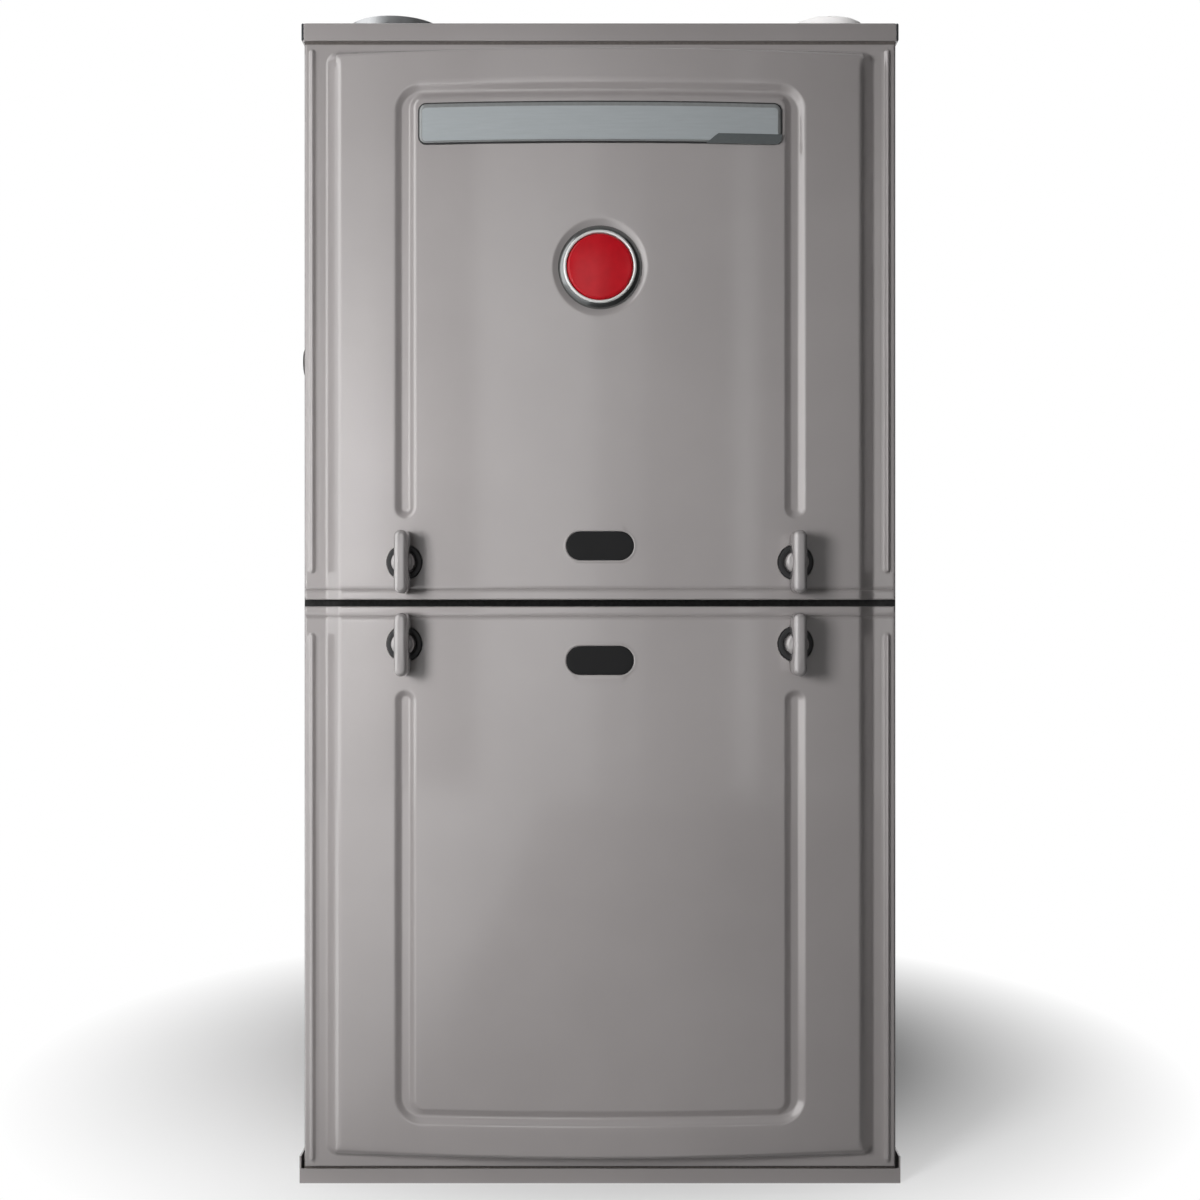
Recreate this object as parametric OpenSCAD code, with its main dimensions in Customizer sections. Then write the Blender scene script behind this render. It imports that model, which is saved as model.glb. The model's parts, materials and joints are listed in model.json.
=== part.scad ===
// Upflow condensing gas furnace: a sheet metal casing with two lift-off doors, each held by two
// quarter-turn latches. The burners, gas train and vent fan stand behind the upper door, and the
// circulation blower and its controls behind the lower one.
// +X is to the right, -Y is the front and +Z is up. The origin is on the floor, under the middle
// of the casing.

/* [Casing] */
// Width over the casing's sides
casing_w = 444.5; // [440:0.5:520]
// Depth from the front flanges to the back
casing_d = 711; // [700:1:760]
// Height from the floor to the underside of the top cap
casing_h = 870; // [864:1:900]
// Thickness of the sheet metal
sheet_t = 1.2; // [0.8:0.1:1.6]
// Width of the casing's inturned front flanges
front_flange_w = 22; // [16:1:26]
// How far the top cap overhangs the casing
cap_overhang = 2; // [1.6:0.1:4]
// Depth of the top cap's skirt
cap_skirt_h = 15.4; // [10:0.2:20]
// Height of the duct flanges around the supply opening
duct_flange_h = 25; // [10:1:40]
// Border of the top cap beside and behind the supply opening
supply_border = 22; // [14:1:40]
// Height of the base pan's side flanges
pan_side_h = 20.4; // [14:0.2:30]
// Height of the base pan's front strip
pan_front_h = 10.9; // [6:0.1:11.5]
// Gap between the base pan's flanges and the casing
pan_gap = 2; // [1:0.1:4]
// Radius of the bolt holes in the base pan
base_hole_r = 4.4; // [3:0.1:6]
// Distance from the casing's sides to the base bolt holes
base_hole_inset_x = 34; // [26:1:60]
// Distance from the casing's front and back to the base bolt holes
base_hole_inset_y = 34; // [20:1:60]
// Height of the return air opening in the right side
return_h = 330; // [200:5:350]
// Depth of the return air opening in the right side
return_d = 520; // [300:5:560]
// Distance from the casing's back to the return air opening
return_back = 60; // [40:1:80]
// Height of the return air opening's lower edge above the floor
return_z = 45; // [30:1:60]

/* [Doors] */
// Distance from the casing's sides to the doors' side edges
door_reveal = 1.75; // [1.5:0.05:4]
// Height of the line between the two doors
door_split_z = 435.4; // [430:0.2:440]
// Gap between the two doors
door_gap = 4.8; // [3:0.1:6]
// Gap between a door and the cap or the base pan
door_end_gap = 1.2; // [0.8:0.1:2]
// How far a door's flat border stands in front of the casing
border_proud = 6; // [5:0.1:8]
// How far the middle of a door's field stands in front of the casing
crown_proud = 32.5; // [30:0.5:40]
// How far the side edges of a door's field stand in front of the casing
field_edge_proud = 19.7; // [18:0.1:22]
// Width of a door's flat border on each side of its raised field
side_border = 15; // [13:0.5:20]
// Width of the sloped flank on each side of the field
flank_w = 11.5; // [8:0.5:14]
// Corner radius of the raised field
field_corner_r = 18; // [10:1:24]
// Border of the upper door above its field
upper_border = 8.9; // [6:0.1:16]
// Border of the lower door under its field
lower_border = 12.2; // [6:0.1:16]
// Height of the hem along each door's inner end
hem_h = 7.1; // [5:0.1:9]
// Width of the line that sets the hem off
hem_line_w = 0.8; // [0.6:0.1:1.5]
// Distance from a door's side edge to the middle of its border rib
rib_inset = 4.5; // [3.9:0.1:6]
// Width of a border rib
rib_w = 5.3; // [3:0.1:6]
// Height of a border rib above the border
rib_h = 1.8; // [1:0.1:2.5]

/* [Door groove] */
// Distance of the groove's legs from the middle of the door
groove_x = 143.6; // [130:0.2:150]
// Width of the groove's legs
groove_w = 14.8; // [10:0.2:18]
// Width of the groove's cross run
groove_run_w = 10.6; // [8:0.2:14]
// Depth of the groove
groove_depth = 4; // [2:0.2:5]
// Outer corner radius of the groove
groove_corner_r = 19; // [14:1:26]
// Distance from the upper door's cap end to the groove's cross run
upper_groove_end = 37.5; // [30:0.5:60]
// Distance from the lower door's floor end to the groove's cross run
lower_groove_end = 40; // [34:0.5:60]
// Distance from the upper door's inner end to the ends of the groove's legs
upper_leg_end = 60.6; // [50:0.5:90]
// Distance from the lower door's inner end to the ends of the groove's legs
lower_leg_end = 62; // [50:0.5:90]

/* [Door trim] */
// Length of the name plate
plate_w = 267.5; // [120:0.5:270]
// Height of the name plate
plate_h = 29.4; // [16:0.2:34]
// Corner radius of the name plate
plate_corner_r = 6; // [3:0.5:8]
// Thickness of the name plate
plate_t = 2.4; // [1.5:0.1:3]
// Distance from the groove's cross run to the name plate
plate_drop = 5; // [4:0.5:20]
// Distance from the groove's cross run to the middle of the badge
badge_drop = 125; // [90:1:220]
// Radius of the dish that the badge lies in
badge_dish_r = 35.5; // [32:0.5:40]
// Depth of the badge's dish
badge_dish_depth = 2.5; // [1.5:0.1:4]
// Outer radius of the badge's ring
badge_ring_r = 30.5; // [28:0.5:31.5]
// Radius of the badge's disc
badge_disc_r = 24.5; // [18:0.5:25]
// Length of a sight window
window_w = 49.6; // [36:0.2:60]
// Height of a sight window
window_h = 21.4; // [16:0.2:26]
// Distance from a door's inner end to the middle of its sight window
window_end = 39.6; // [30:0.2:50]

/* [Latches] */
// Distance of a latch from the middle of the door
latch_x = 144; // [136:0.5:150]
// Distance from a door's inner end to its latches
latch_end = 27.6; // [26:0.1:29]
// Length of a latch's grip bar
grip_l = 46.3; // [36:0.1:47]
// Width of a latch's grip bar
grip_w = 8.3; // [6:0.1:12]
// How far the grip bars stand in front of the casing
grip_proud = 54; // [46:0.5:60]
// Radius of a latch's hub
hub_r = 9.3; // [7.5:0.1:9.6]
// Radius of a latch's shaft
shaft_r = 5; // [3.5:0.1:5.5]
// Radius of the bezel around a latch
bezel_r = 13; // [12:0.1:15]
// Radial clearance of a latch's shaft in the door
shaft_clearance = 0.06; // [0.02:0.01:0.1]
// Length of a latch's cam from the shaft's middle
cam_l = 18; // [16:0.2:20]
// Width of a latch's cam
cam_w = 12; // [8:0.2:14]
// Thickness of a latch's cam
cam_t = 2.5; // [1.5:0.1:3]
// Gap between a cam and the rail that it closes behind
cam_gap = 0.9; // [0.5:0.1:1.5]
// Height of the front rail of the blower deck
rail_h = 40; // [38:0.5:42]

/* [Collars] */
// Distance from the casing's left side to the middle of the air intake collar
intake_inset = 56.75; // [48:0.25:70]
// Outer radius of the air intake collar
intake_r = 39; // [30:0.5:40]
// Height of the air intake collar above the top cap
collar_h = 27.5; // [20:0.5:40]
// How much higher than the collar the vent pipe ends
vent_rise = 3; // [0:0.5:6]
// Distance from the casing's right side to the middle of the vent pipe
vent_inset = 38.5; // [34:0.25:42]
// Outer radius of the vent pipe
vent_r = 30.15; // [26:0.05:31]
// Wall of the vent pipe
vent_wall = 3.9; // [2:0.1:5]
// Distance from the casing's front to both collars
collar_y = 97; // [90:1:110]
// Height of the gas pipe's grommet above the floor
gas_z = 626; // [600:1:640]
// Distance from the casing's front to the gas pipe
gas_y = 70; // [62:1:80]
// Radius of the gas pipe's hole in the grommet
gas_hole_r = 10.8; // [8:0.1:11]
// Radius of the grommet
grommet_r = 13; // [12.5:0.1:16]
// How far the grommet stands out of the casing's side
grommet_proud = 15; // [8:0.5:20]

/* [Burners] */
// Number of burners
burner_count = 4; // [2:1:4]
// Distance between two burners
burner_pitch = 58; // [52:1:60]
// Radius of a burner
burner_r = 14; // [10:0.5:17]
// Height of the burners above the floor
burner_z = 745; // [740:1:760]
// Height of the burner box
burner_box_h = 84; // [70:1:96]
// Distance from the casing's front to the burner box
burner_box_y = 86; // [84:1:96]
// Distance from the casing's front to the vestibule panel
vestibule_y = 180; // [176:1:200]
// Radius of the gas manifold
manifold_r = 10.7; // [8:0.1:12]
// Radius of the valve's gas inlet
gas_inlet_r = 9.5; // [7:0.1:12]
// Depth of the valve's gas inlet
gas_inlet_depth = 18; // [12:1:24]
// Travel of a reset button
button_travel = 1.5; // [1:0.1:2]
// Travel of the gas valve's switch
valve_switch_travel = 8; // [5:0.5:10]
// Radius of a heat exchanger tube
tube_r = 21; // [16:0.5:22]
// Wall of a heat exchanger tube
tube_wall = 1; // [0.8:0.1:1.6]
// Height between two passes of a heat exchanger tube
tube_pass = 80; // [76:1:84]

/* [Vent fan] */
// Distance from the vent fan's shaft to the middle of the vent pipe
fan_offset = 60; // [56:1:66]
// Height of the vent fan above the floor
fan_z = 600; // [590:1:605]
// Radius of the vent fan's wheel
fan_wheel_r = 48; // [40:1:50]
// Depth of the vent fan's housing
fan_housing_d = 62; // [60:1:70]
// Radius of the vent fan's motor
fan_motor_r = 41; // [30:1:46]
// Length of the vent fan's motor
fan_motor_l = 46; // [30:1:50]

/* [Blower] */
// Radius of the blower wheel
wheel_r = 127; // [110:1:130]
// Width of the blower wheel
wheel_w = 200; // [160:2:204]
// Number of blades on the blower wheel
blade_count = 36; // [20:1:48]
// Depth of a blade
blade_d = 18; // [12:1:24]
// Width of the blower housing
blower_w = 236; // [224:1:250]
// Height of the blower's shaft above the floor
blower_z = 212; // [208:1:220]
// Distance of the blower's shaft behind the middle of the casing
blower_y = 60; // [40:1:80]
// Radius of the scroll at its cutoff
scroll_r0 = 142; // [136:1:148]
// Radius of the scroll at its outlet
scroll_r1 = 205; // [190:1:210]
// Radius of the blower housing's inlets
inlet_r = 105; // [90:1:108]
// Radius of the blower motor
motor_r = 70; // [50:1:78]
// Length of the blower motor
motor_l = 125; // [90:1:130]
// Radius of the motor's shaft
motor_shaft_r = 6.35; // [5:0.05:8]
// Radial clearance of the motor's shaft in the motor
bearing_clearance = 0.05; // [0.02:0.01:0.1]

/* [Controls] */
// Width of the control board
board_w = 150; // [110:1:170]
// Height of the control board
board_h = 120; // [90:1:130]
// Travel of the door switch's plunger
plunger_travel = 4; // [2:0.5:6]
// Radius of the door switch's plunger
plunger_r = 3; // [2:0.1:4]
// Gap between a door switch's plunger and what presses it
touch_gap = 0.3; // [0.3:0.05:0.6]
// Radius of the line voltage entry in the casing's left side
line_entry_r = 11.1; // [9:0.1:14]
// Height of the line voltage entry above the floor
line_entry_z = 515; // [500:1:540]
// Distance from the casing's front to the line voltage entry
line_entry_y = 60; // [50:1:70]

/* [Hidden] */
$fn = 64;

// Part colours
steel_paint = [0.66, 0.64, 0.63];
bare_steel = [0.74, 0.75, 0.76];
dark_plastic = [0.16, 0.16, 0.17];

// Planes of the casing
side_x = casing_w / 2;
front_y = -casing_d / 2;
back_y = casing_d / 2;
inner_x = side_x - sheet_t;
cap_t = sheet_t + 0.2;
collar_z = casing_h + cap_t;
skirt_bottom = collar_z - cap_skirt_h;
deck_z = door_split_z - sheet_t / 2;
deck_top = deck_z + sheet_t;
deck_side_h = 18;
panel_y = front_y + vestibule_y;
panel_back = panel_y + sheet_t;
seat_gap = 0.1;
intake_x = side_x - intake_inset;
vent_x = side_x - vent_inset;
fan_x = vent_x - fan_offset;

// Widths of the doors and ends of the two doors, from low to high
door_w = casing_w - 2 * door_reveal;
field_w = door_w - 2 * side_border;
rib_x = door_w / 2 - rib_inset;
lower_door_z = [pan_front_h + door_end_gap, door_split_z - door_gap / 2];
upper_door_z = [door_split_z + door_gap / 2, skirt_bottom - door_end_gap];
lower_field_z = [lower_door_z[0] + lower_border, lower_door_z[1]];
upper_field_z = [upper_door_z[0], upper_door_z[1] - upper_border];
door_back_gap = 0.4;

// The crown of a door's field is part of a large upright cylinder
field_edge_x = field_w / 2 - flank_w;
crown_sag = crown_proud - field_edge_proud;
crown_r = (field_edge_x * field_edge_x + crown_sag * crown_sag) / (2 * crown_sag);
crown_axis_y = front_y - crown_proud + crown_r;
flank_slope = flank_w / (field_edge_proud - border_proud);
crown_fn = 720;

// Proud height of the crown at a distance from the middle of the door
function crown_at(x) = crown_proud - crown_r + sqrt(crown_r * crown_r - x * x);

// Places on the doors
upper_window_z = upper_door_z[0] + window_end;
lower_window_z = lower_door_z[1] - window_end;
upper_latch_z = upper_door_z[0] + latch_end;
lower_latch_z = lower_door_z[1] - latch_end;
run_outer_z = upper_door_z[1] - upper_groove_end;
plate_z = run_outer_z - groove_run_w - plate_drop - plate_h / 2;
badge_z = run_outer_z - groove_run_w - badge_drop;
dish_floor_y = front_y - crown_proud + badge_dish_depth;
window_seat_depth = 1.2;
window_frame = 2.4;
bezel_depth = 3;
bezel_floor_proud = crown_at(latch_x) - bezel_depth;
bezel_gap = 0.3;
grip_back_proud = crown_at(latch_x - grip_l / 2) + 1.5;
cam_y = front_y + sheet_t + cam_gap;
cam_boss_r = shaft_r + 3;

// Burners, tubes and the box around them
function burner_x(i) = (i - (burner_count - 1) / 2) * burner_pitch;
burner_box_x = (burner_count - 1) / 2 * burner_pitch + burner_r + 20;
burner_box_front = front_y + burner_box_y;
manifold_y = front_y + gas_y;
orifice_r = 5;
orifice_root = 4;
orifice_l = 12;
orifice_bore_r = 1.2;
manifold_foot = [12, 8];
manifold_foot_lap = 3;
tube_back_gap = 120;
tube_front_gap = 70;
tube_back_y = back_y - tube_back_gap;
tube_front_y = panel_back + tube_front_gap;
bend_r = tube_pass / 2;
header_d = 42;
header_y = tube_back_y + header_d / 2;
coil_lift = 10;
coil_h = 100;
coil_z = [deck_top + coil_lift, deck_top + coil_lift + coil_h];
coil_inset = 32;
coil_x = side_x - coil_inset;

// Gas valve
valve_x = -(burner_box_x + 8);
valve_size = [72, 62, 76];
valve_top = gas_z + valve_size[2] / 2;
valve_front = manifold_y - valve_size[1] / 2;
switch_w = 12;
switch_slot_w = switch_w + valve_switch_travel + 1;

// Vent fan: the housing stands on the collector box
fan_y = front_y + collar_y;
fan_front = fan_y - fan_housing_d / 2;
fan_back = fan_y + fan_housing_d / 2;
fan_housing_r = fan_offset + 2;
fan_outlet_z = fan_z + fan_housing_r + 22;
spigot_r = vent_r - vent_wall - 0.2;
vent_bottom = fan_outlet_z + 8;
vent_top = collar_z + collar_h + vent_rise;
vent_flange_t = 2.5;
collector_x = [fan_x - 82, fan_x + 72];
collector_t = 3;
collector_z = [coil_z[0] + 54, fan_z + 60];
trap_x = fan_x;
trap_y = fan_back + 22;
trap_w = 64;
trap_r = 7;
trap_neck = 14;
trap_lap = 20;
trap_wall = 2;
trap_top = collector_z[0] - 12;

// Blower
blower_shaft_y = blower_y;
plate_half = blower_w / 2;
cutoff_angle = 60;
scroll_turn = 360 - cutoff_angle;
scroll_steps = 40;
outlet_y0 = blower_shaft_y + scroll_r0 * cos(cutoff_angle);
outlet_y1 = blower_shaft_y + scroll_r1;
hub_x = 10;
hub_l = 30;
hub_wall_r = 16;
motor_gap = 24;
motor_face_x = hub_x - motor_gap;
mount_ring_w = 22;
shaft_in_motor = 40;
shaft_past_hub = 6;

// Controls
tray_y = front_y + 62;
tray_x = [-(inner_x - 6), -(inner_x - 6) + board_w + 24];
tray_z = [deck_z - board_h - 34, deck_z];
tray_lip = 20;
tray_flange_t = 2;
board_margin = [12, 16];
board_stand = 8;
board_t = 1.6;
relay_size = [20, 28];
relay_pitch = 30;
relay_d = 18;
terminal_d = 14;
plug_d = 16;
part_margin = 14;
switch_x = 96;
switch_z = deck_z - 26;
tab_y = front_y + 9;
tab_t = 2;
plunger_tip_y = tab_y + touch_gap;
switch_body_y = plunger_tip_y + plunger_travel + 4;
reset_x = burner_box_x - 24;
reset_z = burner_z + burner_box_h / 2 + 12;

// Line voltage entry: the casing's hole is wider than the junction box's
line_entry_margin = 3;
intake_hole_margin = 1.5;
junction_d = 48;
junction_half_y = 32;
junction_half_z = 42;

// Boxes and rods by their ends
module box(x, y, z) {
    translate([x[0], y[0], z[0]]) cube([x[1] - x[0], y[1] - y[0], z[1] - z[0]]);
}

module rod_x(x, y, z, r) {
    translate([x[0], y, z]) rotate([0, 90, 0]) cylinder(h = x[1] - x[0], r = r);
}

module rod_y(x, y, z, r) {
    translate([x, y[1], z]) rotate([90, 0, 0]) cylinder(h = y[1] - y[0], r = r);
}

module rod_z(x, y, z, r) {
    translate([x, y, z[0]]) cylinder(h = z[1] - z[0], r = r);
}

// A drawing in X and Z, extruded from y[0] to y[1]
module front_shape(y) {
    translate([0, y[1], 0]) rotate([90, 0, 0]) linear_extrude(y[1] - y[0]) children();
}

// A drawing in Y and Z, extruded from x[0] to x[1]
module side_shape(x) {
    translate([x[0], 0, 0]) rotate([90, 0, 90]) linear_extrude(x[1] - x[0]) children();
}

module rounded(w, h, r) {
    square([w - 2 * r, h], center = true);
    square([w, h - 2 * r], center = true);
    for (x = [-1, 1], y = [-1, 1]) translate([x * (w / 2 - r), y * (h / 2 - r)]) circle(r);
}

module stadium(w, h) {
    square([w - h, h], center = true);
    for (x = [-1, 1]) translate([x * (w - h) / 2, 0]) circle(h / 2);
}

// Casing -----------------------------------------------------------------------------------

score_w = 2;

module return_outline(grow) translate([back_y - return_back - return_d - grow, return_z - grow])
    square([return_d + 2 * grow, return_h + 2 * grow]);

module cabinet_wrap() color(steel_paint) difference() {
    box([-side_x, side_x], [front_y, back_y], [sheet_t, casing_h]);
    box([-inner_x, inner_x], [front_y + sheet_t, back_y - sheet_t], [0, casing_h + 1]);
    box([-side_x + front_flange_w, side_x - front_flange_w], [front_y - 1, front_y + 5],
        [0, casing_h + 1]);
    // Return air opening in the right side
    side_shape([inner_x - 1, side_x + 1]) return_outline(0);
    // Score lines of the same opening in the left side
    side_shape([-side_x - 1, -side_x + sheet_t / 3]) difference() {
        return_outline(0);
        return_outline(-score_w);
    }
    // Gas pipe and line voltage entries
    rod_x([-side_x - 1, -inner_x + 1], manifold_y, gas_z, grommet_r);
    rod_x([-side_x - 1, -inner_x + 1], front_y + line_entry_y, line_entry_z,
        line_entry_r + line_entry_margin);
}

module cap_outline(grow, z) {
    x = side_x + cap_overhang + grow;
    y = casing_d / 2 + cap_overhang + grow;
    box([-x, x], [-y, y], z);
}

supply_x = side_x - supply_border;
supply_y = [panel_back + 10, back_y - supply_border];

// The cap, and the ring of duct flanges that stands on it
module top_cap() color(steel_paint) {
    difference() {
        cap_outline(0, [skirt_bottom, collar_z]);
        cap_outline(-sheet_t, [skirt_bottom - 1, casing_h]);
        box([-supply_x, supply_x], supply_y, [casing_h - 1, collar_z + 1]);
        rod_z(-intake_x, fan_y, [casing_h - 1, collar_z + 1], intake_r + intake_hole_margin);
        rod_z(vent_x, fan_y, [casing_h - 1, collar_z + 1], vent_r + 0.3);
    }
    difference() {
        box([-supply_x - sheet_t, supply_x + sheet_t],
            [supply_y[0] - sheet_t, supply_y[1] + sheet_t],
            [collar_z + seat_gap, collar_z + duct_flange_h]);
        box([-supply_x, supply_x], supply_y, [collar_z - 1, collar_z + duct_flange_h + 1]);
    }
}

module base_pan() color(steel_paint) difference() {
    x = side_x + pan_gap + sheet_t;
    y = casing_d / 2 + pan_gap + sheet_t;
    union() {
        box([-x, x], [-y, y], [0, sheet_t]);
        box([-x, x], [-y, -y + sheet_t], [0, pan_front_h]);
        box([-x, x], [y - sheet_t, y], [0, pan_side_h]);
        for (s = [-1, 1]) box([s * x - (s > 0 ? sheet_t : 0), s * x + (s > 0 ? 0 : sheet_t)],
            [-y, y], [0, pan_side_h]);
    }
    for (sx = [-1, 1], sy = [-1, 1])
        rod_z(sx * (side_x - base_hole_inset_x), sy * (casing_d / 2 - base_hole_inset_y),
            [-1, sheet_t + 1], base_hole_r);
}

module blower_deck() color(bare_steel) {
    x = inner_x - seat_gap;
    difference() {
        union() {
            box([-x, x], [front_y + sheet_t, back_y - sheet_t - seat_gap], [deck_z, deck_top]);
            box([-x + front_flange_w, x - front_flange_w], [front_y, front_y + sheet_t],
                [door_split_z - rail_h / 2, door_split_z + rail_h / 2]);
        }
        box([-plate_half + sheet_t, plate_half - sheet_t], [outlet_y0, outlet_y1 - sheet_t],
            [deck_z - 1, deck_top + 1]);
    }
    // Flanges that carry the deck on the casing's sides
    for (s = [-1, 1]) box([s * x - (s > 0 ? sheet_t : 0), s * x + (s > 0 ? 0 : sheet_t)],
        [front_y + 2 * sheet_t, back_y - sheet_t - seat_gap], [deck_z - deck_side_h, deck_top]);
}

module vestibule_panel() color(bare_steel) difference() {
    x = inner_x - seat_gap;
    box([-x, x], [panel_y, panel_back], [deck_top, casing_h]);
    for (i = [0 : burner_count - 1]) rod_y(burner_x(i), [panel_y - 1, panel_back + 1], burner_z,
        tube_r - tube_wall);
    box([collector_x[0] + 14, collector_x[1] - 14], [panel_y - 1, panel_back + 1],
        [collector_z[0] + 12, coil_z[1] - 6]);
}

seal_w = 8;
seal_inset = 4;
seal_gap = 0.3;

module door_seals() color([0.12, 0.12, 0.12]) {
    x = side_x - front_flange_w + 1;
    for (z = [lower_door_z, upper_door_z], s = [-1, 1])
        box([min(s * x, s * (x + seal_w)), max(s * x, s * (x + seal_w))],
            [front_y - border_proud + sheet_t + seal_gap, front_y],
            [z[0] + seal_inset, z[1] - seal_inset]);
}

// Doors ------------------------------------------------------------------------------------

// Outline of a raised field, rounded at its outer end only
module field_outline(z, round_top, inset) {
    w = field_w - 2 * inset * sqrt(1 + flank_slope * flank_slope);
    h = z[1] - z[0] - 2 * inset;
    r = field_corner_r;
    translate([0, (z[0] + z[1]) / 2]) mirror([0, round_top ? 0 : 1]) {
        translate([-w / 2, -h / 2]) square([w, h - r]);
        translate([-w / 2 + r, -h / 2]) square([w - 2 * r, h]);
        for (s = [-1, 1]) translate([s * (w / 2 - r), h / 2 - r]) circle(r);
    }
}

module flank_outline(inset) {
    grow = inset * sqrt(1 + flank_slope * flank_slope);
    foot = field_w / 2 + flank_slope * border_proud - grow;
    tip_y = crown_proud + 5;
    tip = field_w / 2 - flank_slope * (tip_y - border_proud) - grow;
    polygon([[-foot, front_y], [-tip, front_y - tip_y], [tip, front_y - tip_y], [foot, front_y]]);
}

module crown(z, inset) {
    translate([0, crown_axis_y, z[0]])
        cylinder(h = z[1] - z[0], r = crown_r - inset, $fn = crown_fn);
}

module field(z, round_top, inset, y_back) intersection() {
    front_shape([front_y - crown_proud - 5, y_back]) field_outline(z, round_top, inset);
    translate([0, 0, z[0] - 1]) linear_extrude(z[1] - z[0] + 2) flank_outline(inset);
    crown([z[0] - 1, z[1] + 1], inset);
}

module border(z, inset, y_back) {
    x = door_w / 2 - inset;
    box([-x, x], [front_y - border_proud + inset, y_back], [z[0] + inset, z[1] - inset]);
}

// The U-shaped groove: a cross run at the outer end of the door and two legs
module groove_outline(run_z, leg_z, grow) {
    up = run_z > leg_z ? 1 : -1;
    w = 2 * groove_x + groove_w;
    reach = abs(run_z - leg_z) - groove_w / 2;
    inner_r = max(groove_corner_r - (groove_w + groove_run_w) / 2, 1.5);
    translate([0, run_z]) mirror([0, up > 0 ? 0 : 1]) {
        difference() {
            translate([0, -reach / 2]) rounded_top(w + 2 * grow, reach, groove_corner_r + grow, grow);
            translate([0, -reach / 2 - groove_run_w / 2 - 1])
                rounded_top(w - 2 * groove_w - 2 * grow, reach - groove_run_w + 2,
                    max(inner_r - grow, 0.5), -grow);
        }
        for (s = [-1, 1]) translate([s * groove_x, -reach]) circle(groove_w / 2 + grow);
    }
}

// A rectangle with two round upper corners, whose upper edge is moved up by lift
module rounded_top(w, h, r, lift) {
    translate([-w / 2, -h / 2]) square([w, h - r + lift]);
    translate([-w / 2 + r, -h / 2]) square([w - 2 * r, h + lift]);
    for (s = [-1, 1]) translate([s * (w / 2 - r), h / 2 - r + lift]) circle(r);
}

module groove(run_z, leg_z, grow) difference() {
    front_shape([front_y - crown_proud - 1, front_y - border_proud - 1])
        groove_outline(run_z, leg_z, grow);
    crown([min(run_z, leg_z) - 20, max(run_z, leg_z) + 20], groove_depth + grow);
}

module latch_seats(z, grow) for (s = [-1, 1])
    rod_y(s * latch_x, [front_y - crown_proud - 2, front_y - bezel_floor_proud + grow], z,
        bezel_r + 0.15 + grow);

module ribs(z) for (s = [-1, 1]) translate([s * rib_x, 0, (z[0] + z[1]) / 2])
    front_shape([front_y - border_proud - rib_h, front_y - border_proud + sheet_t / 2])
        rotate(90) stadium(z[1] - z[0], rib_w);

module hem_line(z, field_z, round_top) difference() {
    box([-door_w, door_w], [front_y - crown_proud - 5, front_y - border_proud + sheet_t / 2], z);
    field([z[0] - 9, z[1] + 9], round_top, sheet_t / 2, front_y - border_proud + 1);
    border([z[0] - 9, z[1] + 9], sheet_t / 2, front_y);
}

module door_shell(z, field_z, round_top, run_z, leg_z, rib_z, latch_z, window_z, hem_z) {
    difference() {
        union() {
            border(z, 0, front_y - door_back_gap);
            field(field_z, round_top, 0, front_y - border_proud + sheet_t / 2);
            ribs(rib_z);
        }
        difference() {
            union() {
                border(z, sheet_t, front_y + 1);
                field(field_z, round_top, sheet_t, front_y + 1);
            }
            groove(run_z, leg_z, sheet_t);
            latch_seats(latch_z, sheet_t);
            window_seat(window_z, sheet_t);
            if (round_top) badge_dish(sheet_t);
        }
        groove(run_z, leg_z, 0);
        latch_seats(latch_z, 0);
        window_seat(window_z, 0);
        if (round_top) badge_dish(0);
        hem_line(hem_z, field_z, round_top);
        for (s = [-1, 1]) rod_y(s * latch_x, [front_y - crown_proud, front_y], latch_z,
            shaft_r + shaft_clearance);
        translate([0, 0, window_z]) front_shape([front_y - crown_proud - 1, front_y])
            stadium(window_w - 2 * window_frame, window_h - 2 * window_frame);
    }
}

module window_seat(z, grow) translate([0, 0, z])
    front_shape([front_y - crown_proud - 2, front_y - crown_proud + window_seat_depth + grow])
        stadium(window_w + 0.2 + 2 * grow, window_h + 0.2 + 2 * grow);

module badge_dish(grow) rod_y(0, [front_y - crown_proud - 2, dish_floor_y + grow], badge_z,
    badge_dish_r + grow);

upper_leg_z = upper_door_z[0] + upper_leg_end;
lower_leg_z = lower_door_z[1] - lower_leg_end;
lower_run_z = lower_door_z[0] + lower_groove_end;
rib_end = 20;

module upper_door() color(steel_paint)
    door_shell(upper_door_z, upper_field_z, true, run_outer_z, upper_leg_z,
        [upper_door_z[0] + rib_end, upper_door_z[1] - 4], upper_latch_z, upper_window_z,
        [upper_door_z[0] + hem_h, upper_door_z[0] + hem_h + hem_line_w]);

module lower_door() color(steel_paint) {
    door_shell(lower_door_z, lower_field_z, false, lower_run_z, lower_leg_z,
        [lower_door_z[0] + 8, lower_door_z[1] - rib_end], lower_latch_z, lower_window_z,
        [lower_door_z[1] - hem_h - hem_line_w, lower_door_z[1] - hem_h]);
    // Tab that presses the door switch
    tab_x = [switch_x - 10, switch_x + 10];
    skin_y = front_y - crown_at(switch_x + 10) + sheet_t;
    box(tab_x, [skin_y - sheet_t / 2, tab_y], [switch_z - 6, switch_z - 6 + tab_t]);
    box(tab_x, [tab_y - tab_t, tab_y], [switch_z - 6, switch_z + 5]);
}

insulation_gap = 0.3;

module lower_door_insulation() color([0.8, 0.8, 0.78]) {
    x = field_edge_x - 8;
    z = [lower_field_z[0] + 8, lower_leg_z + 4];
    intersection() {
        box([-x, x], [front_y - crown_proud, front_y - 1], z);
        crown(z, groove_depth + sheet_t + insulation_gap);
    }
}

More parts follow.
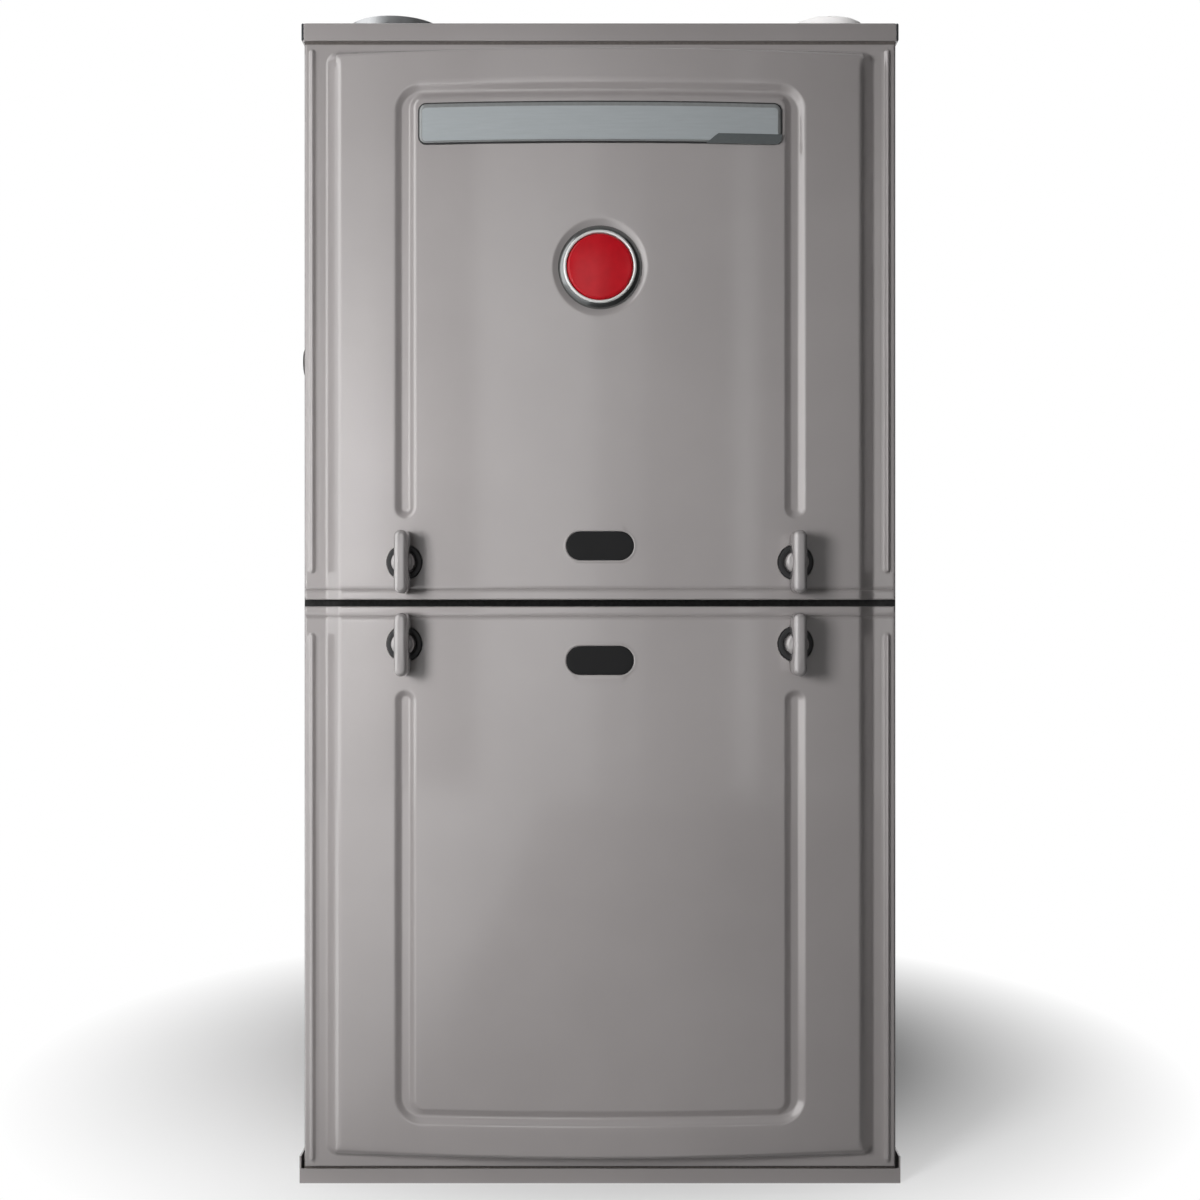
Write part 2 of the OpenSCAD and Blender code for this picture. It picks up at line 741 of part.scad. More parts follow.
module name_plate() color([0.62, 0.64, 0.65]) intersection() {
    front_shape([front_y - crown_proud - plate_t - 1, front_y - border_proud])
        translate([0, plate_z]) rounded(plate_w, plate_h, plate_corner_r);
    difference() {
        crown([plate_z - plate_h, plate_z + plate_h], -plate_t);
        crown([plate_z - plate_h - 1, plate_z + plate_h + 1], 0);
    }
}

module badge_ring() color([0.85, 0.86, 0.87]) translate([0, dish_floor_y, badge_z])
    rotate([90, 0, 0]) rotate_extrude($fn = 96) polygon([
        [badge_disc_r, 0], [badge_ring_r, 0], [badge_ring_r, 3], [badge_ring_r - 1.4, 4.8],
        [badge_disc_r + 1.4, 4.8], [badge_disc_r, 3]
    ]);

disc_dome_r = 120;

module badge_disc() color([0.72, 0.1, 0.15]) intersection() {
    rod_y(0, [dish_floor_y - 9, dish_floor_y], badge_z, badge_disc_r - 0.05);
    translate([0, dish_floor_y - 6.2 + disc_dome_r, badge_z]) sphere(disc_dome_r, $fn = 200);
}

module window(z) color(dark_plastic) {
    seat_y = front_y - crown_proud + window_seat_depth;
    translate([0, 0, z]) {
        front_shape([seat_y - 1.8, seat_y]) stadium(window_w, window_h);
        front_shape([seat_y, seat_y + 4])
            stadium(window_w - 2 * window_frame - 0.2, window_h - 2 * window_frame - 0.2);
    }
}

module upper_window() window(upper_window_z);

module lower_window() window(lower_window_z);

module latch_bezels(z) color(dark_plastic) for (s = [-1, 1]) difference() {
    floor_y = front_y - bezel_floor_proud;
    rod_y(s * latch_x, [floor_y - bezel_depth - 0.5, floor_y], z, bezel_r);
    rod_y(s * latch_x, [floor_y - bezel_depth - 2, floor_y + 1], z, hub_r + bezel_gap);
}

module upper_latch_bezels() latch_bezels(upper_latch_z);

module lower_latch_bezels() latch_bezels(lower_latch_z);

module latch_knob(side, z) color(steel_paint) translate([side * latch_x, 0, z]) {
    rod_y(0, [front_y - grip_back_proud - 2, front_y - bezel_floor_proud - bezel_gap], 0, hub_r);
    rod_y(0, [front_y - bezel_floor_proud - 1, cam_y + cam_t + 1.5], 0, shaft_r);
    front_shape([front_y - grip_proud, front_y - grip_back_proud])
        rotate(90) stadium(grip_l, grip_w);
}

module latch_cam(side, z) color(bare_steel) translate([side * latch_x, 0, z]) difference() {
    front_shape([cam_y, cam_y + cam_t]) union() {
        circle(cam_boss_r);
        translate([side > 0 ? -cam_l : 0, -cam_w / 2]) square([cam_l, cam_w]);
    }
    rod_y(0, [cam_y - 1, cam_y + cam_t + 1], 0, shaft_r);
}

module upper_left_latch_knob() latch_knob(-1, upper_latch_z);

module upper_right_latch_knob() latch_knob(1, upper_latch_z);

module lower_left_latch_knob() latch_knob(-1, lower_latch_z);

module lower_right_latch_knob() latch_knob(1, lower_latch_z);

module upper_left_latch_cam() latch_cam(-1, upper_latch_z);

module upper_right_latch_cam() latch_cam(1, upper_latch_z);

module lower_left_latch_cam() latch_cam(-1, lower_latch_z);

module lower_right_latch_cam() latch_cam(1, lower_latch_z);

// Collars and grommet ----------------------------------------------------------------------

module intake_collar() color(bare_steel)
translate([-intake_x, fan_y, collar_z + seat_gap]) difference() {
    union() {
        cylinder(h = collar_h - seat_gap, r = intake_r);
        cylinder(h = sheet_t, r = intake_r + 8);
    }
    translate([0, 0, -1]) cylinder(h = collar_h + 2, r = intake_r - sheet_t);
}

module vent_pipe() color([0.95, 0.95, 0.94]) difference() {
    union() {
        rod_z(vent_x, fan_y, [vent_bottom, vent_top], vent_r);
        rod_z(vent_x, fan_y, [collar_z, collar_z + vent_flange_t], vent_r + 6);
    }
    rod_z(vent_x, fan_y, [vent_bottom - 1, vent_top + 1], vent_r - vent_wall);
}

module gas_grommet() color(dark_plastic) translate([-side_x, manifold_y, gas_z])
    rotate([0, -90, 0]) rotate_extrude() difference() {
        union() {
            intersection() {
                translate([0, grommet_proud - grommet_r]) circle(grommet_r);
                translate([0, grommet_proud - grommet_r]) square([grommet_r, grommet_r]);
            }
            translate([0, -sheet_t]) square([grommet_r, grommet_proud - grommet_r + sheet_t]);
            translate([0, -sheet_t - 2]) square([grommet_r + 1.5, 2]);
        }
        translate([-1, -sheet_t - 9]) square([gas_hole_r + 1, grommet_proud + 19]);
        translate([-99, -sheet_t - 9]) square([99, grommet_proud + 19]);
    }

// Gas train --------------------------------------------------------------------------------

module gas_valve_body() color([0.62, 0.63, 0.64]) difference() {
    w = valve_size[0];
    union() {
        box([valve_x - w / 2, valve_x + w / 2], [valve_front, valve_front + valve_size[1]],
            [gas_z - valve_size[2] / 2, valve_top]);
        // Inlet and outlet bosses, regulator tower
        rod_x([valve_x - w / 2 - 12, valve_x - w / 2], manifold_y, gas_z, gas_inlet_r + 6);
        rod_z(valve_x, manifold_y, [valve_top, valve_top + 8], manifold_r + 5);
        rod_y(valve_x + 14, [valve_front - 12, valve_front], gas_z - 16, 13);
        // Bracket that carries the valve on the casing's side
        box([-inner_x, valve_x - w / 2 + 6], [valve_front + valve_size[1],
            valve_front + valve_size[1] + 2], [gas_z - 20, gas_z + 20]);
    }
    rod_x([valve_x - w / 2 - 13, valve_x - w / 2 - 12 + gas_inlet_depth], manifold_y, gas_z,
        gas_inlet_r);
    rod_z(valve_x, manifold_y, [valve_top - 6, valve_top + 9], manifold_r);
    // Slot of the switch
    box([valve_x - switch_slot_w / 2, valve_x + switch_slot_w / 2], [valve_front - 1,
        valve_front + 8], [gas_z + 15, gas_z + 23]);
}

module gas_valve_switch() color([0.75, 0.12, 0.1]) {
    x = valve_x - switch_slot_w / 2 + 0.5;
    box([x, x + switch_w], [valve_front - 7, valve_front + 7.6], [gas_z + 15.3, gas_z + 22.7]);
}

module gas_manifold() color([0.25, 0.25, 0.26]) {
    end_x = burner_x(burner_count - 1) + 16;
    difference() {
        union() {
            rod_z(valve_x, manifold_y, [valve_top - 6, burner_z], manifold_r);
            rod_x([valve_x, end_x], manifold_y, burner_z, manifold_r);
            translate([valve_x, manifold_y, burner_z]) sphere(manifold_r);
            rod_x([end_x, end_x + 8], manifold_y, burner_z, manifold_r + 3);
        }
        for (i = [0 : burner_count - 1])
            rod_y(burner_x(i), [manifold_y, manifold_y + manifold_r + 5], burner_z, orifice_r - 1);
    }
    // Feet that hold the manifold to the burner box
    for (s = [-1, 1]) let (x = s * (burner_pitch + 2)) box(
        [x - manifold_foot[0] / 2, x + manifold_foot[0] / 2],
        [manifold_y + manifold_r - manifold_foot_lap, burner_box_front],
        [burner_z - manifold_foot[1] / 2, burner_z + manifold_foot[1] / 2]);
}

module gas_orifices() color([0.78, 0.62, 0.3]) for (i = [0 : burner_count - 1]) difference() {
    y = manifold_y + manifold_r;
    union() {
        rod_y(burner_x(i), [y - orifice_root, y], burner_z, orifice_r - 1);
        rod_y(burner_x(i), [y, y + orifice_l], burner_z, orifice_r);
    }
    rod_y(burner_x(i), [manifold_y, y + orifice_l + 1], burner_z, orifice_bore_r);
}

module burner_box() color(bare_steel) difference() {
    x = burner_box_x;
    z = [burner_z - burner_box_h / 2, burner_z + burner_box_h / 2];
    union() {
        box([-x, x], [burner_box_front, panel_y], z);
        box([-x - 10, x + 10], [panel_y - sheet_t, panel_y], [z[0] - 10, z[1] + 10]);
    }
    box([-x + sheet_t, x - sheet_t], [burner_box_front + sheet_t, panel_y + 1],
        [z[0] + sheet_t, z[1] - sheet_t]);
    for (i = [0 : burner_count - 1])
        rod_y(burner_x(i), [burner_box_front - 1, burner_box_front + 3], burner_z, burner_r + 1);
    for (s = [-1, 1]) translate([s * x, 0, 0])
        rod_x([-2 * sheet_t, 2 * sheet_t], probe_y, probe_z, probe_r + 0.3);
}

module burners() color([0.55, 0.52, 0.48]) for (i = [0 : burner_count - 1]) difference() {
    front = burner_box_front - 3;
    union() {
        rod_y(burner_x(i), [front, panel_y - 20], burner_z, burner_r);
        rod_y(burner_x(i), [panel_y - 20, panel_y - 1.5], burner_z, burner_r + 3);
        box([burner_x(i) - 8, burner_x(i) + 8], [panel_y - 40, panel_y - 22],
            [burner_z - burner_box_h / 2 + sheet_t, burner_z - burner_r / 2]);
    }
    rod_y(burner_x(i), [front - 1, panel_y], burner_z, burner_r - 2);
}

probe_y = panel_y - 24;
probe_z = burner_z + 8;
probe_r = 5;

module igniter() color([0.9, 0.88, 0.84]) {
    x = burner_box_x;
    box([x, x + 2], [probe_y - 14, probe_y + 14], [probe_z - 14, probe_z + 14]);
    rod_x([x - 18, x + 22], probe_y, probe_z, probe_r);
}

module flame_sensor() color([0.88, 0.87, 0.85]) {
    x = -burner_box_x;
    box([x - 2, x], [probe_y - 14, probe_y + 14], [probe_z - 12, probe_z + 12]);
    rod_x([x - 18, x + 6], probe_y, probe_z, probe_r - 1);
    rod_x([x + 6, x + 18], probe_y, probe_z, 1.5);
}

button_r = 4;
button_gap = 0.08;
button_seat = 8;
rollout_back = 22;
rollout_d = 14;
rollout_r = 11;
rollout_foot_t = 2;
rollout_y = front_y + burner_box_y + rollout_back;

module rollout_switches() color(dark_plastic) for (s = [-1, 1]) difference() {
    union() {
        rod_y(s * reset_x, [rollout_y, rollout_y + rollout_d], reset_z, rollout_r);
        box([s * reset_x - rollout_r - 1, s * reset_x + rollout_r + 1],
            [rollout_y + rollout_d / 2, rollout_y + rollout_d / 2 + rollout_foot_t],
            [burner_z + burner_box_h / 2, reset_z]);
    }
    rod_y(s * reset_x, [rollout_y - 1, rollout_y + button_seat], reset_z, button_r + button_gap);
}

module reset_button(side) color([0.8, 0.15, 0.12])
    rod_y(side * reset_x, [rollout_y - 4, rollout_y + button_seat - button_travel - 0.5],
        reset_z, button_r);

module left_reset_button() reset_button(-1);

module right_reset_button() reset_button(1);

// Heat exchanger ---------------------------------------------------------------------------

module tube_bend(y, z, side, r) translate([0, y, z]) rotate([0, 90, 0])
    rotate([0, 0, side > 0 ? 0 : 180]) rotate_extrude(angle = 180) translate([bend_r, 0]) circle(r);

// A serpentine of three passes and two bends
module tube_solid(r, extra) {
    rod_y(0, [panel_back - extra, tube_back_y], burner_z, r);
    tube_bend(tube_back_y, burner_z - bend_r, 1, r);
    rod_y(0, [tube_front_y, tube_back_y], burner_z - tube_pass, r);
    tube_bend(tube_front_y, burner_z - tube_pass - bend_r, -1, r);
    rod_y(0, [tube_front_y, header_y + extra], burner_z - 2 * tube_pass, r);
}

module heat_exchanger_tubes() color([0.68, 0.66, 0.62]) for (i = [0 : burner_count - 1])
    translate([burner_x(i), 0, 0]) difference() {
        tube_solid(tube_r, 0);
        tube_solid(tube_r - tube_wall, 1);
    }

fin_count = 16;
fin_t = 1;
fin_end_gap = 6;
coil_tubes = 6;
coil_tube_r = 6;
coil_row = 38;
coil_row_z = 24;
header_lip = 8;

module secondary_coil() color([0.78, 0.79, 0.8]) {
    pitch = (header_y - panel_back - 2 * fin_end_gap - fin_t) / (fin_count - 1);
    fin_y = panel_back + fin_end_gap;
    for (i = [0 : fin_count - 1]) box([-coil_x, coil_x],
        [fin_y + i * pitch, fin_y + i * pitch + fin_t], coil_z);
    for (i = [0 : coil_tubes - 1], j = [0, 1])
        rod_y((i - (coil_tubes - 1) / 2) * 2 * (coil_x - coil_lift - coil_tube_r) / (coil_tubes - 1),
            [panel_back, header_y], coil_z[0] + coil_row_z + j * coil_row, coil_tube_r);
    // Rear header that joins the tubes above to the coil
    box([-coil_x, coil_x], [header_y + seat_gap, header_y + header_d],
        [deck_top, burner_z - 2 * tube_pass + tube_r + header_lip]);
}

module collector_box() color([0.2, 0.2, 0.21]) difference() {
    box(collector_x, [fan_back, panel_y], collector_z);
    box([collector_x[0] + collector_t, collector_x[1] - collector_t],
        [fan_back + collector_t, panel_y + 1],
        [collector_z[0] + collector_t, collector_z[1] - collector_t]);
    rod_y(fan_x, [fan_back - 1, fan_back + 4], fan_z, fan_inlet_r);
    rod_z(trap_x, trap_y, [collector_z[0] - 1, collector_z[0] + collector_t + 1], trap_r);
}

// Vent fan ---------------------------------------------------------------------------------

fan_shaft_r = 4;
fan_shaft_in = 30;
fan_plate_gap = 12;
fan_hub_l = 16;
fan_hub_r = 10;
vane_count = 12;
vane_l = 26;
fan_stand = 8;
fan_inlet_r = 24;
press_x = -24;
press_z = 560;
press_r = 34;
press_d = 22;
press_stand = 12;
press_foot_w = 44;
press_foot_h = 16;
press_y = panel_y - press_d - press_stand;
nipple_l = 12;
hose_r = 4;
hose_lead = 4;
hose_bend_r = 14;
hose_run_y = press_y - nipple_l - hose_lead - hose_bend_r;
hose_end_x = fan_x - fan_housing_r + 6;

module inducer_housing() color([0.23, 0.23, 0.24]) difference() {
    union() {
        rod_x([hose_end_x, fan_x - fan_housing_r + 24], hose_run_y, press_z, hose_r);
        rod_y(fan_x, [fan_front, fan_back], fan_z, fan_housing_r);
        box([fan_x, vent_x + spigot_r], [fan_front, fan_back], [fan_z, fan_outlet_z]);
        rod_z(vent_x, fan_y, [fan_outlet_z, vent_bottom + 30], spigot_r);
        rod_z(vent_x, fan_y, [fan_outlet_z, vent_bottom], vent_r + 1);
    }
    rod_y(fan_x, [fan_front + 3, fan_back - 3], fan_z, fan_housing_r - 3);
    rod_z(vent_x, fan_y, [fan_z, vent_bottom + 31], spigot_r - 3);
    rod_y(fan_x, [fan_back - 4, fan_back + 1], fan_z, fan_inlet_r);
    rod_y(fan_x, [fan_front - 1, fan_front + 4], fan_z, fan_shaft_r + 1);
}

module inducer_motor() color([0.3, 0.31, 0.33]) difference() {
    union() {
        rod_y(fan_x, [fan_front - fan_motor_l - fan_stand, fan_front - fan_stand], fan_z,
            fan_motor_r);
        for (a = [90 : 120 : 330]) rod_y(fan_x + (fan_motor_r - 7) * cos(a),
            [fan_front - fan_stand - 1, fan_front], fan_z + (fan_motor_r - 7) * sin(a), 4);
    }
    rod_y(fan_x, [fan_front - fan_shaft_in, fan_front + 1], fan_z,
        fan_shaft_r + bearing_clearance);
}

module inducer_wheel() color([0.55, 0.56, 0.58]) {
    plate_y = fan_back - fan_plate_gap;
    rod_y(fan_x, [plate_y, plate_y + 2], fan_z, fan_wheel_r);
    rod_y(fan_x, [fan_front - fan_shaft_in + 1, plate_y + 1], fan_z, fan_shaft_r);
    rod_y(fan_x, [plate_y - fan_hub_l, plate_y], fan_z, fan_hub_r);
    for (i = [0 : vane_count - 1]) translate([fan_x, 0, fan_z])
        rotate([0, i * 360 / vane_count, 0])
            box([fan_hub_r - 2, fan_wheel_r], [plate_y - vane_l, plate_y + 1], [-1, 1]);
}

module pressure_switch() color([0.2, 0.21, 0.22]) {
    rod_y(press_x, [press_y, press_y + press_d], press_z, press_r);
    rod_y(press_x, [press_y - nipple_l, press_y], press_z, hose_r + 2);
    box([press_x - press_foot_w / 2, press_x + press_foot_w / 2],
        [press_y + press_d - sheet_t, panel_y], [press_z - press_foot_h / 2,
        press_z + press_foot_h / 2]);
}

// From the switch's nipple, forward, round a bend and across to the fan housing's nipple
module pressure_hose() color([0.75, 0.2, 0.15]) {
    y = hose_run_y + hose_bend_r;
    rod_y(press_x, [y, press_y - nipple_l], press_z, hose_r);
    translate([press_x + hose_bend_r, y, press_z]) rotate([0, 0, 180])
        rotate_extrude(angle = 90) translate([hose_bend_r, 0]) circle(hose_r);
    rod_x([press_x + hose_bend_r, hose_end_x], hose_run_y, press_z, hose_r);
}

module condensate_trap() color([0.82, 0.83, 0.82]) difference() {
    union() {
        box([trap_x - trap_w / 2, trap_x + trap_w / 2], [fan_back - trap_lap, panel_y],
            [deck_top, trap_top - trap_neck]);
        rod_z(trap_x, trap_y, [trap_top - trap_neck, trap_top], trap_r);
    }
    rod_z(trap_x, trap_y, [trap_top - 2 * trap_neck, trap_top + 1],
        trap_r - trap_wall);
}

module drain_hose() color([0.15, 0.15, 0.15]) difference() {
    rod_z(trap_x, trap_y, [trap_top - trap_neck + 2, collector_z[0]], trap_r + 3);
    rod_z(trap_x, trap_y, [trap_top - trap_neck + 1, trap_top], trap_r);
    rod_z(trap_x, trap_y, [trap_top - 1, collector_z[0] + 1], trap_r - 1);
}

// Blower -----------------------------------------------------------------------------------

function scroll_point(t, grow) = let(
    a = cutoff_angle + scroll_turn * t,
    r = scroll_r0 + (scroll_r1 - scroll_r0) * t + grow
) [blower_shaft_y + r * cos(a), blower_z + r * sin(a)];

module scroll_outline(grow) polygon(concat(
    [[outlet_y0 - grow, deck_z], scroll_point(0, grow)],
    [for (i = [1 : scroll_steps]) scroll_point(i / scroll_steps, grow)],
    [[outlet_y1 + grow, deck_z]]
));

module blower_housing() color(bare_steel) difference() {
    union() {
        side_shape([-plate_half, plate_half]) scroll_outline(0);
        for (s = [-1, 1]) side_shape([s * plate_half - 1, s * plate_half + 1])
            scroll_outline(6);
    }
    side_shape([-plate_half + sheet_t, plate_half - sheet_t]) scroll_outline(-sheet_t);
    box([-plate_half + sheet_t, plate_half - sheet_t], [outlet_y0 + sheet_t, outlet_y1 - sheet_t],
        [blower_z + scroll_r0, deck_z + 1]);
    rod_x([-plate_half - 9, plate_half + 9], blower_shaft_y, blower_z, inlet_r);
}

module blower_wheel() color([0.7, 0.71, 0.72]) translate([0, blower_shaft_y, blower_z]) {
    x = wheel_w / 2;
    difference() {
        union() {
            for (s = [-1, 1]) rod_x([s * x - 4, s * x + 4], 0, 0, wheel_r);
            rod_x([hub_x, hub_x + 2], 0, 0, wheel_r - 1);
            rod_x([hub_x - 2, hub_x + hub_l], 0, 0, hub_wall_r);
            for (i = [0 : blade_count - 1]) rotate([i * 360 / blade_count, 0, 0])
                box([-x, x], [-0.8, 0.8], [wheel_r - blade_d, wheel_r - 1]);
        }
        for (s = [-1, 1]) rod_x([s * x - 5, s * x + 5], 0, 0, wheel_r - blade_d);
        rod_x([hub_x - 3, hub_x + hub_l + 1], 0, 0, motor_shaft_r);
    }
}

module motor_shaft() color([0.6, 0.6, 0.62])
    rod_x([motor_face_x - shaft_in_motor, hub_x + hub_l + shaft_past_hub], blower_shaft_y,
        blower_z, motor_shaft_r);

motor_nose_l = 8;
motor_nose_r = 20;

module blower_motor() color([0.2, 0.22, 0.26]) difference() {
    union() {
        rod_x([motor_face_x - motor_l, motor_face_x], blower_shaft_y, blower_z, motor_r);
        rod_x([motor_face_x, motor_face_x + motor_nose_l], blower_shaft_y, blower_z,
            motor_nose_r);
    }
    rod_x([motor_face_x - shaft_in_motor - 1, motor_face_x + motor_nose_l + 1], blower_shaft_y,
        blower_z, motor_shaft_r + bearing_clearance);
}

module motor_mount() color([0.3, 0.3, 0.31]) translate([0, blower_shaft_y, blower_z]) {
    ring_x = -plate_half - 1;
    x = [ring_x - mount_ring_w, ring_x];
    difference() {
        union() {
            rod_x(x, 0, 0, motor_r + 3);
            for (a = [0 : 120 : 240]) rotate([a, 0, 0]) {
                box([ring_x - 6, ring_x], [-6, 6], [motor_r, inlet_r + 14]);
            }
        }
        rod_x([x[0] - 1, x[1] + 1], 0, 0, motor_r);
    }
}

// Controls ---------------------------------------------------------------------------------

module board_tray() color(bare_steel) {
    box(tray_x, [tray_y, tray_y + sheet_t], tray_z);
    box(tray_x, [tray_y, tray_y + tray_lip], [tray_z[1] - sheet_t, tray_z[1]]);
    box([tray_x[0], tray_x[0] + sheet_t], [tray_y, tray_y + tray_lip], tray_z);
    // Side flange that carries the tray on the casing
    box([-inner_x, tray_x[0]], [tray_y + tray_lip - tray_flange_t, tray_y + tray_lip],
        [tray_z[0], deck_z - deck_side_h - 1]);
}

module control_board() color([0.12, 0.36, 0.2]) {
    x0 = tray_x[0] + board_margin[0];
    z0 = tray_z[0] + board_margin[1];
    y = tray_y - board_stand;
    box([x0, x0 + board_w], [y - board_t, y], [z0, z0 + board_h]);
    for (sx = [0.06, 0.94], sz = [0.06, 0.94])
        rod_y(x0 + sx * board_w, [y, tray_y], z0 + sz * board_h, 3);
    // Relays, terminal strip and plug
    for (i = [0 : 2]) let (x = x0 + part_margin + i * relay_pitch) box(
        [x, x + relay_size[0]], [y - relay_d, y - board_t],
        [z0 + board_h - part_margin - relay_size[1], z0 + board_h - part_margin]);
    box([x0 + part_margin, x0 + board_w - 34], [y - terminal_d, y - board_t], [z0 + 8, z0 + 20]);
    box([x0 + board_w - 28, x0 + board_w - 12], [y - plug_d, y - board_t],
        [z0 + 34, z0 + board_h - 40]);
}

transformer_x = tray_x[1] + 44;
transformer_size = [56, 48, 52];

module transformer() color([0.24, 0.24, 0.25]) {
    s = transformer_size;
    x = transformer_x - s[0] / 2;
    y = tray_y - 10;
    z = deck_z - s[2] - 3;
    box([x, x + s[0]], [y, y + s[1]], [z, z + s[2]]);
    box([x + 9, x + s[0] - 9], [y - 9, y + s[1] + 9], [z + 9, z + s[2] - 9]);
    box([x - 12, x + s[0] + 12], [y + 8, y + s[1] - 8], [deck_z - 3, deck_z]);
}

module door_switch() color([0.85, 0.85, 0.83]) difference() {
    union() {
        box([switch_x - 11, switch_x + 11], [switch_body_y, switch_body_y + 22],
            [switch_z - 14, switch_z + 14]);
        box([switch_x - 15, switch_x + 15], [switch_body_y + 8, switch_body_y + 10],
            [switch_z - 8, deck_z]);
    }
    rod_y(switch_x, [switch_body_y - 1, switch_body_y + 16], switch_z, plunger_r + button_gap);
}

module door_switch_plunger() color([0.9, 0.3, 0.1])
    rod_y(switch_x, [plunger_tip_y, switch_body_y + 16 - plunger_travel - 0.5], switch_z,
        plunger_r);

module junction_box() color(bare_steel) difference() {
    y = front_y + line_entry_y;
    x = [-inner_x + seat_gap, -inner_x + junction_d];
    box(x, [y - junction_half_y, y + junction_half_y],
        [line_entry_z - junction_half_z, line_entry_z + junction_half_z]);
    box([x[0] + sheet_t, x[1] - sheet_t],
        [y - junction_half_y + sheet_t, y + junction_half_y - sheet_t],
        [line_entry_z - junction_half_z + sheet_t, line_entry_z + junction_half_z - sheet_t]);
    rod_x([x[0] - 1, x[0] + sheet_t + 1], y, line_entry_z, line_entry_r);
}

screw_r = 4;

module screw_y(x, y, z) rod_y(x, [y - 3, y], z, screw_r, $fn = 24);

module screws() color([0.7, 0.7, 0.72]) {
    for (s = [-1, 1], e = [-1, 1])
        screw_y(s * (burner_box_x + 5), panel_y - sheet_t,
            burner_z + e * (burner_box_h / 2 + 5));
    for (s = [0.06, 0.94], e = [0.06, 0.94])
        screw_y(tray_x[0] + 12 + s * board_w, tray_y - 9.6, tray_z[0] + 16 + e * board_h);
    for (s = [-1, 1]) rod_z(transformer_x + s * 34, tray_y + 14, [deck_z - 6, deck_z - 3],
        screw_r - 0.5);
}

cabinet_wrap();
top_cap();
base_pan();
blower_deck();
vestibule_panel();
door_seals();
intake_collar();
vent_pipe();
gas_grommet();
upper_door();
name_plate();
badge_ring();
badge_disc();
upper_window();
upper_latch_bezels();
lower_door();
lower_door_insulation();
lower_window();
lower_latch_bezels();
upper_left_latch_knob();
upper_left_latch_cam();
upper_right_latch_knob();
upper_right_latch_cam();
lower_left_latch_knob();
lower_left_latch_cam();
lower_right_latch_knob();
lower_right_latch_cam();
gas_valve_body();
gas_valve_switch();
gas_manifold();
gas_orifices();
burner_box();
burners();
igniter();
flame_sensor();
rollout_switches();
left_reset_button();
right_reset_button();
heat_exchanger_tubes();
secondary_coil();
collector_box();
inducer_housing();
inducer_motor();
inducer_wheel();
pressure_switch();
pressure_hose();
condensate_trap();
drain_hose();
blower_housing();
blower_wheel();
motor_shaft();
blower_motor();
motor_mount();
board_tray();
control_board();
transformer();
door_switch();
door_switch_plunger();
junction_box();
screws();
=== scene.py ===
"""Looks of a two-door upflow gas furnace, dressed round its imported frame.

Lengths are in metres, in the frame's axes: +X right, -Y front, +Z up.
"""

import json
import math

import bmesh
import bpy
import numpy as np
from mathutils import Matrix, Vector
from mathutils.geometry import tessellate_polygon


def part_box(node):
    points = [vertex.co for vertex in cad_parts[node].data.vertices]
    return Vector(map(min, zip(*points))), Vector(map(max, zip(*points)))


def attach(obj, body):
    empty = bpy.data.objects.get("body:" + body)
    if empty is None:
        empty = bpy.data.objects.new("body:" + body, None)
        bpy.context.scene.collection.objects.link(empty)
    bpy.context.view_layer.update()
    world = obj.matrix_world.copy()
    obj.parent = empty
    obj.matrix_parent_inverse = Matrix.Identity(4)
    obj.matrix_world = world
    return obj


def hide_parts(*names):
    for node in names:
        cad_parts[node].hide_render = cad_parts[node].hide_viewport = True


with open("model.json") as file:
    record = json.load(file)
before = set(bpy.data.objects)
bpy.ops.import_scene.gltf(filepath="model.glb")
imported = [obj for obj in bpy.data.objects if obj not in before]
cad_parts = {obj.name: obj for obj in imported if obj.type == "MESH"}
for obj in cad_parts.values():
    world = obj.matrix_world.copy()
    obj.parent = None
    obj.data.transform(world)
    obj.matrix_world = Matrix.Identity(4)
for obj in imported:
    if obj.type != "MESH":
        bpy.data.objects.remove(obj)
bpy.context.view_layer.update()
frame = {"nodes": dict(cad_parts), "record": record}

MM = 0.001

# Planes and places read from the frame ----------------------------------------------------

casing_low, casing_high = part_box("cabinet_wrap")
FRONT_Y = casing_low.y
SIDE_X = casing_high.x
DUCT_FLANGE_H = 25 * MM
CAP_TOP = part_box("top_cap")[1].z - DUCT_FLANGE_H
SHEET = 1.2 * MM


def add_object(name, data):
    thing = bpy.data.objects.new(name, data)
    bpy.context.scene.collection.objects.link(thing)
    return thing


# Camera: the photograph is a straight front view from 1.2 m. The width is what it shows at
# the front plane.
CAMERA_DISTANCE = 1.2
VIEW_WIDTH = 902.9 * MM
CAMERA_Z = 437.7 * MM
SENSOR = 36.0


def make_camera():
    data = bpy.data.cameras.new("camera")
    data.sensor_width = SENSOR
    data.lens = SENSOR * CAMERA_DISTANCE / VIEW_WIDTH
    camera = add_object("camera", data)
    camera.location = (0, FRONT_Y - CAMERA_DISTANCE, CAMERA_Z)
    camera.rotation_euler = (math.radians(90), 0, 0)
    bpy.context.scene.camera = camera


# Mesh helpers -----------------------------------------------------------------------------

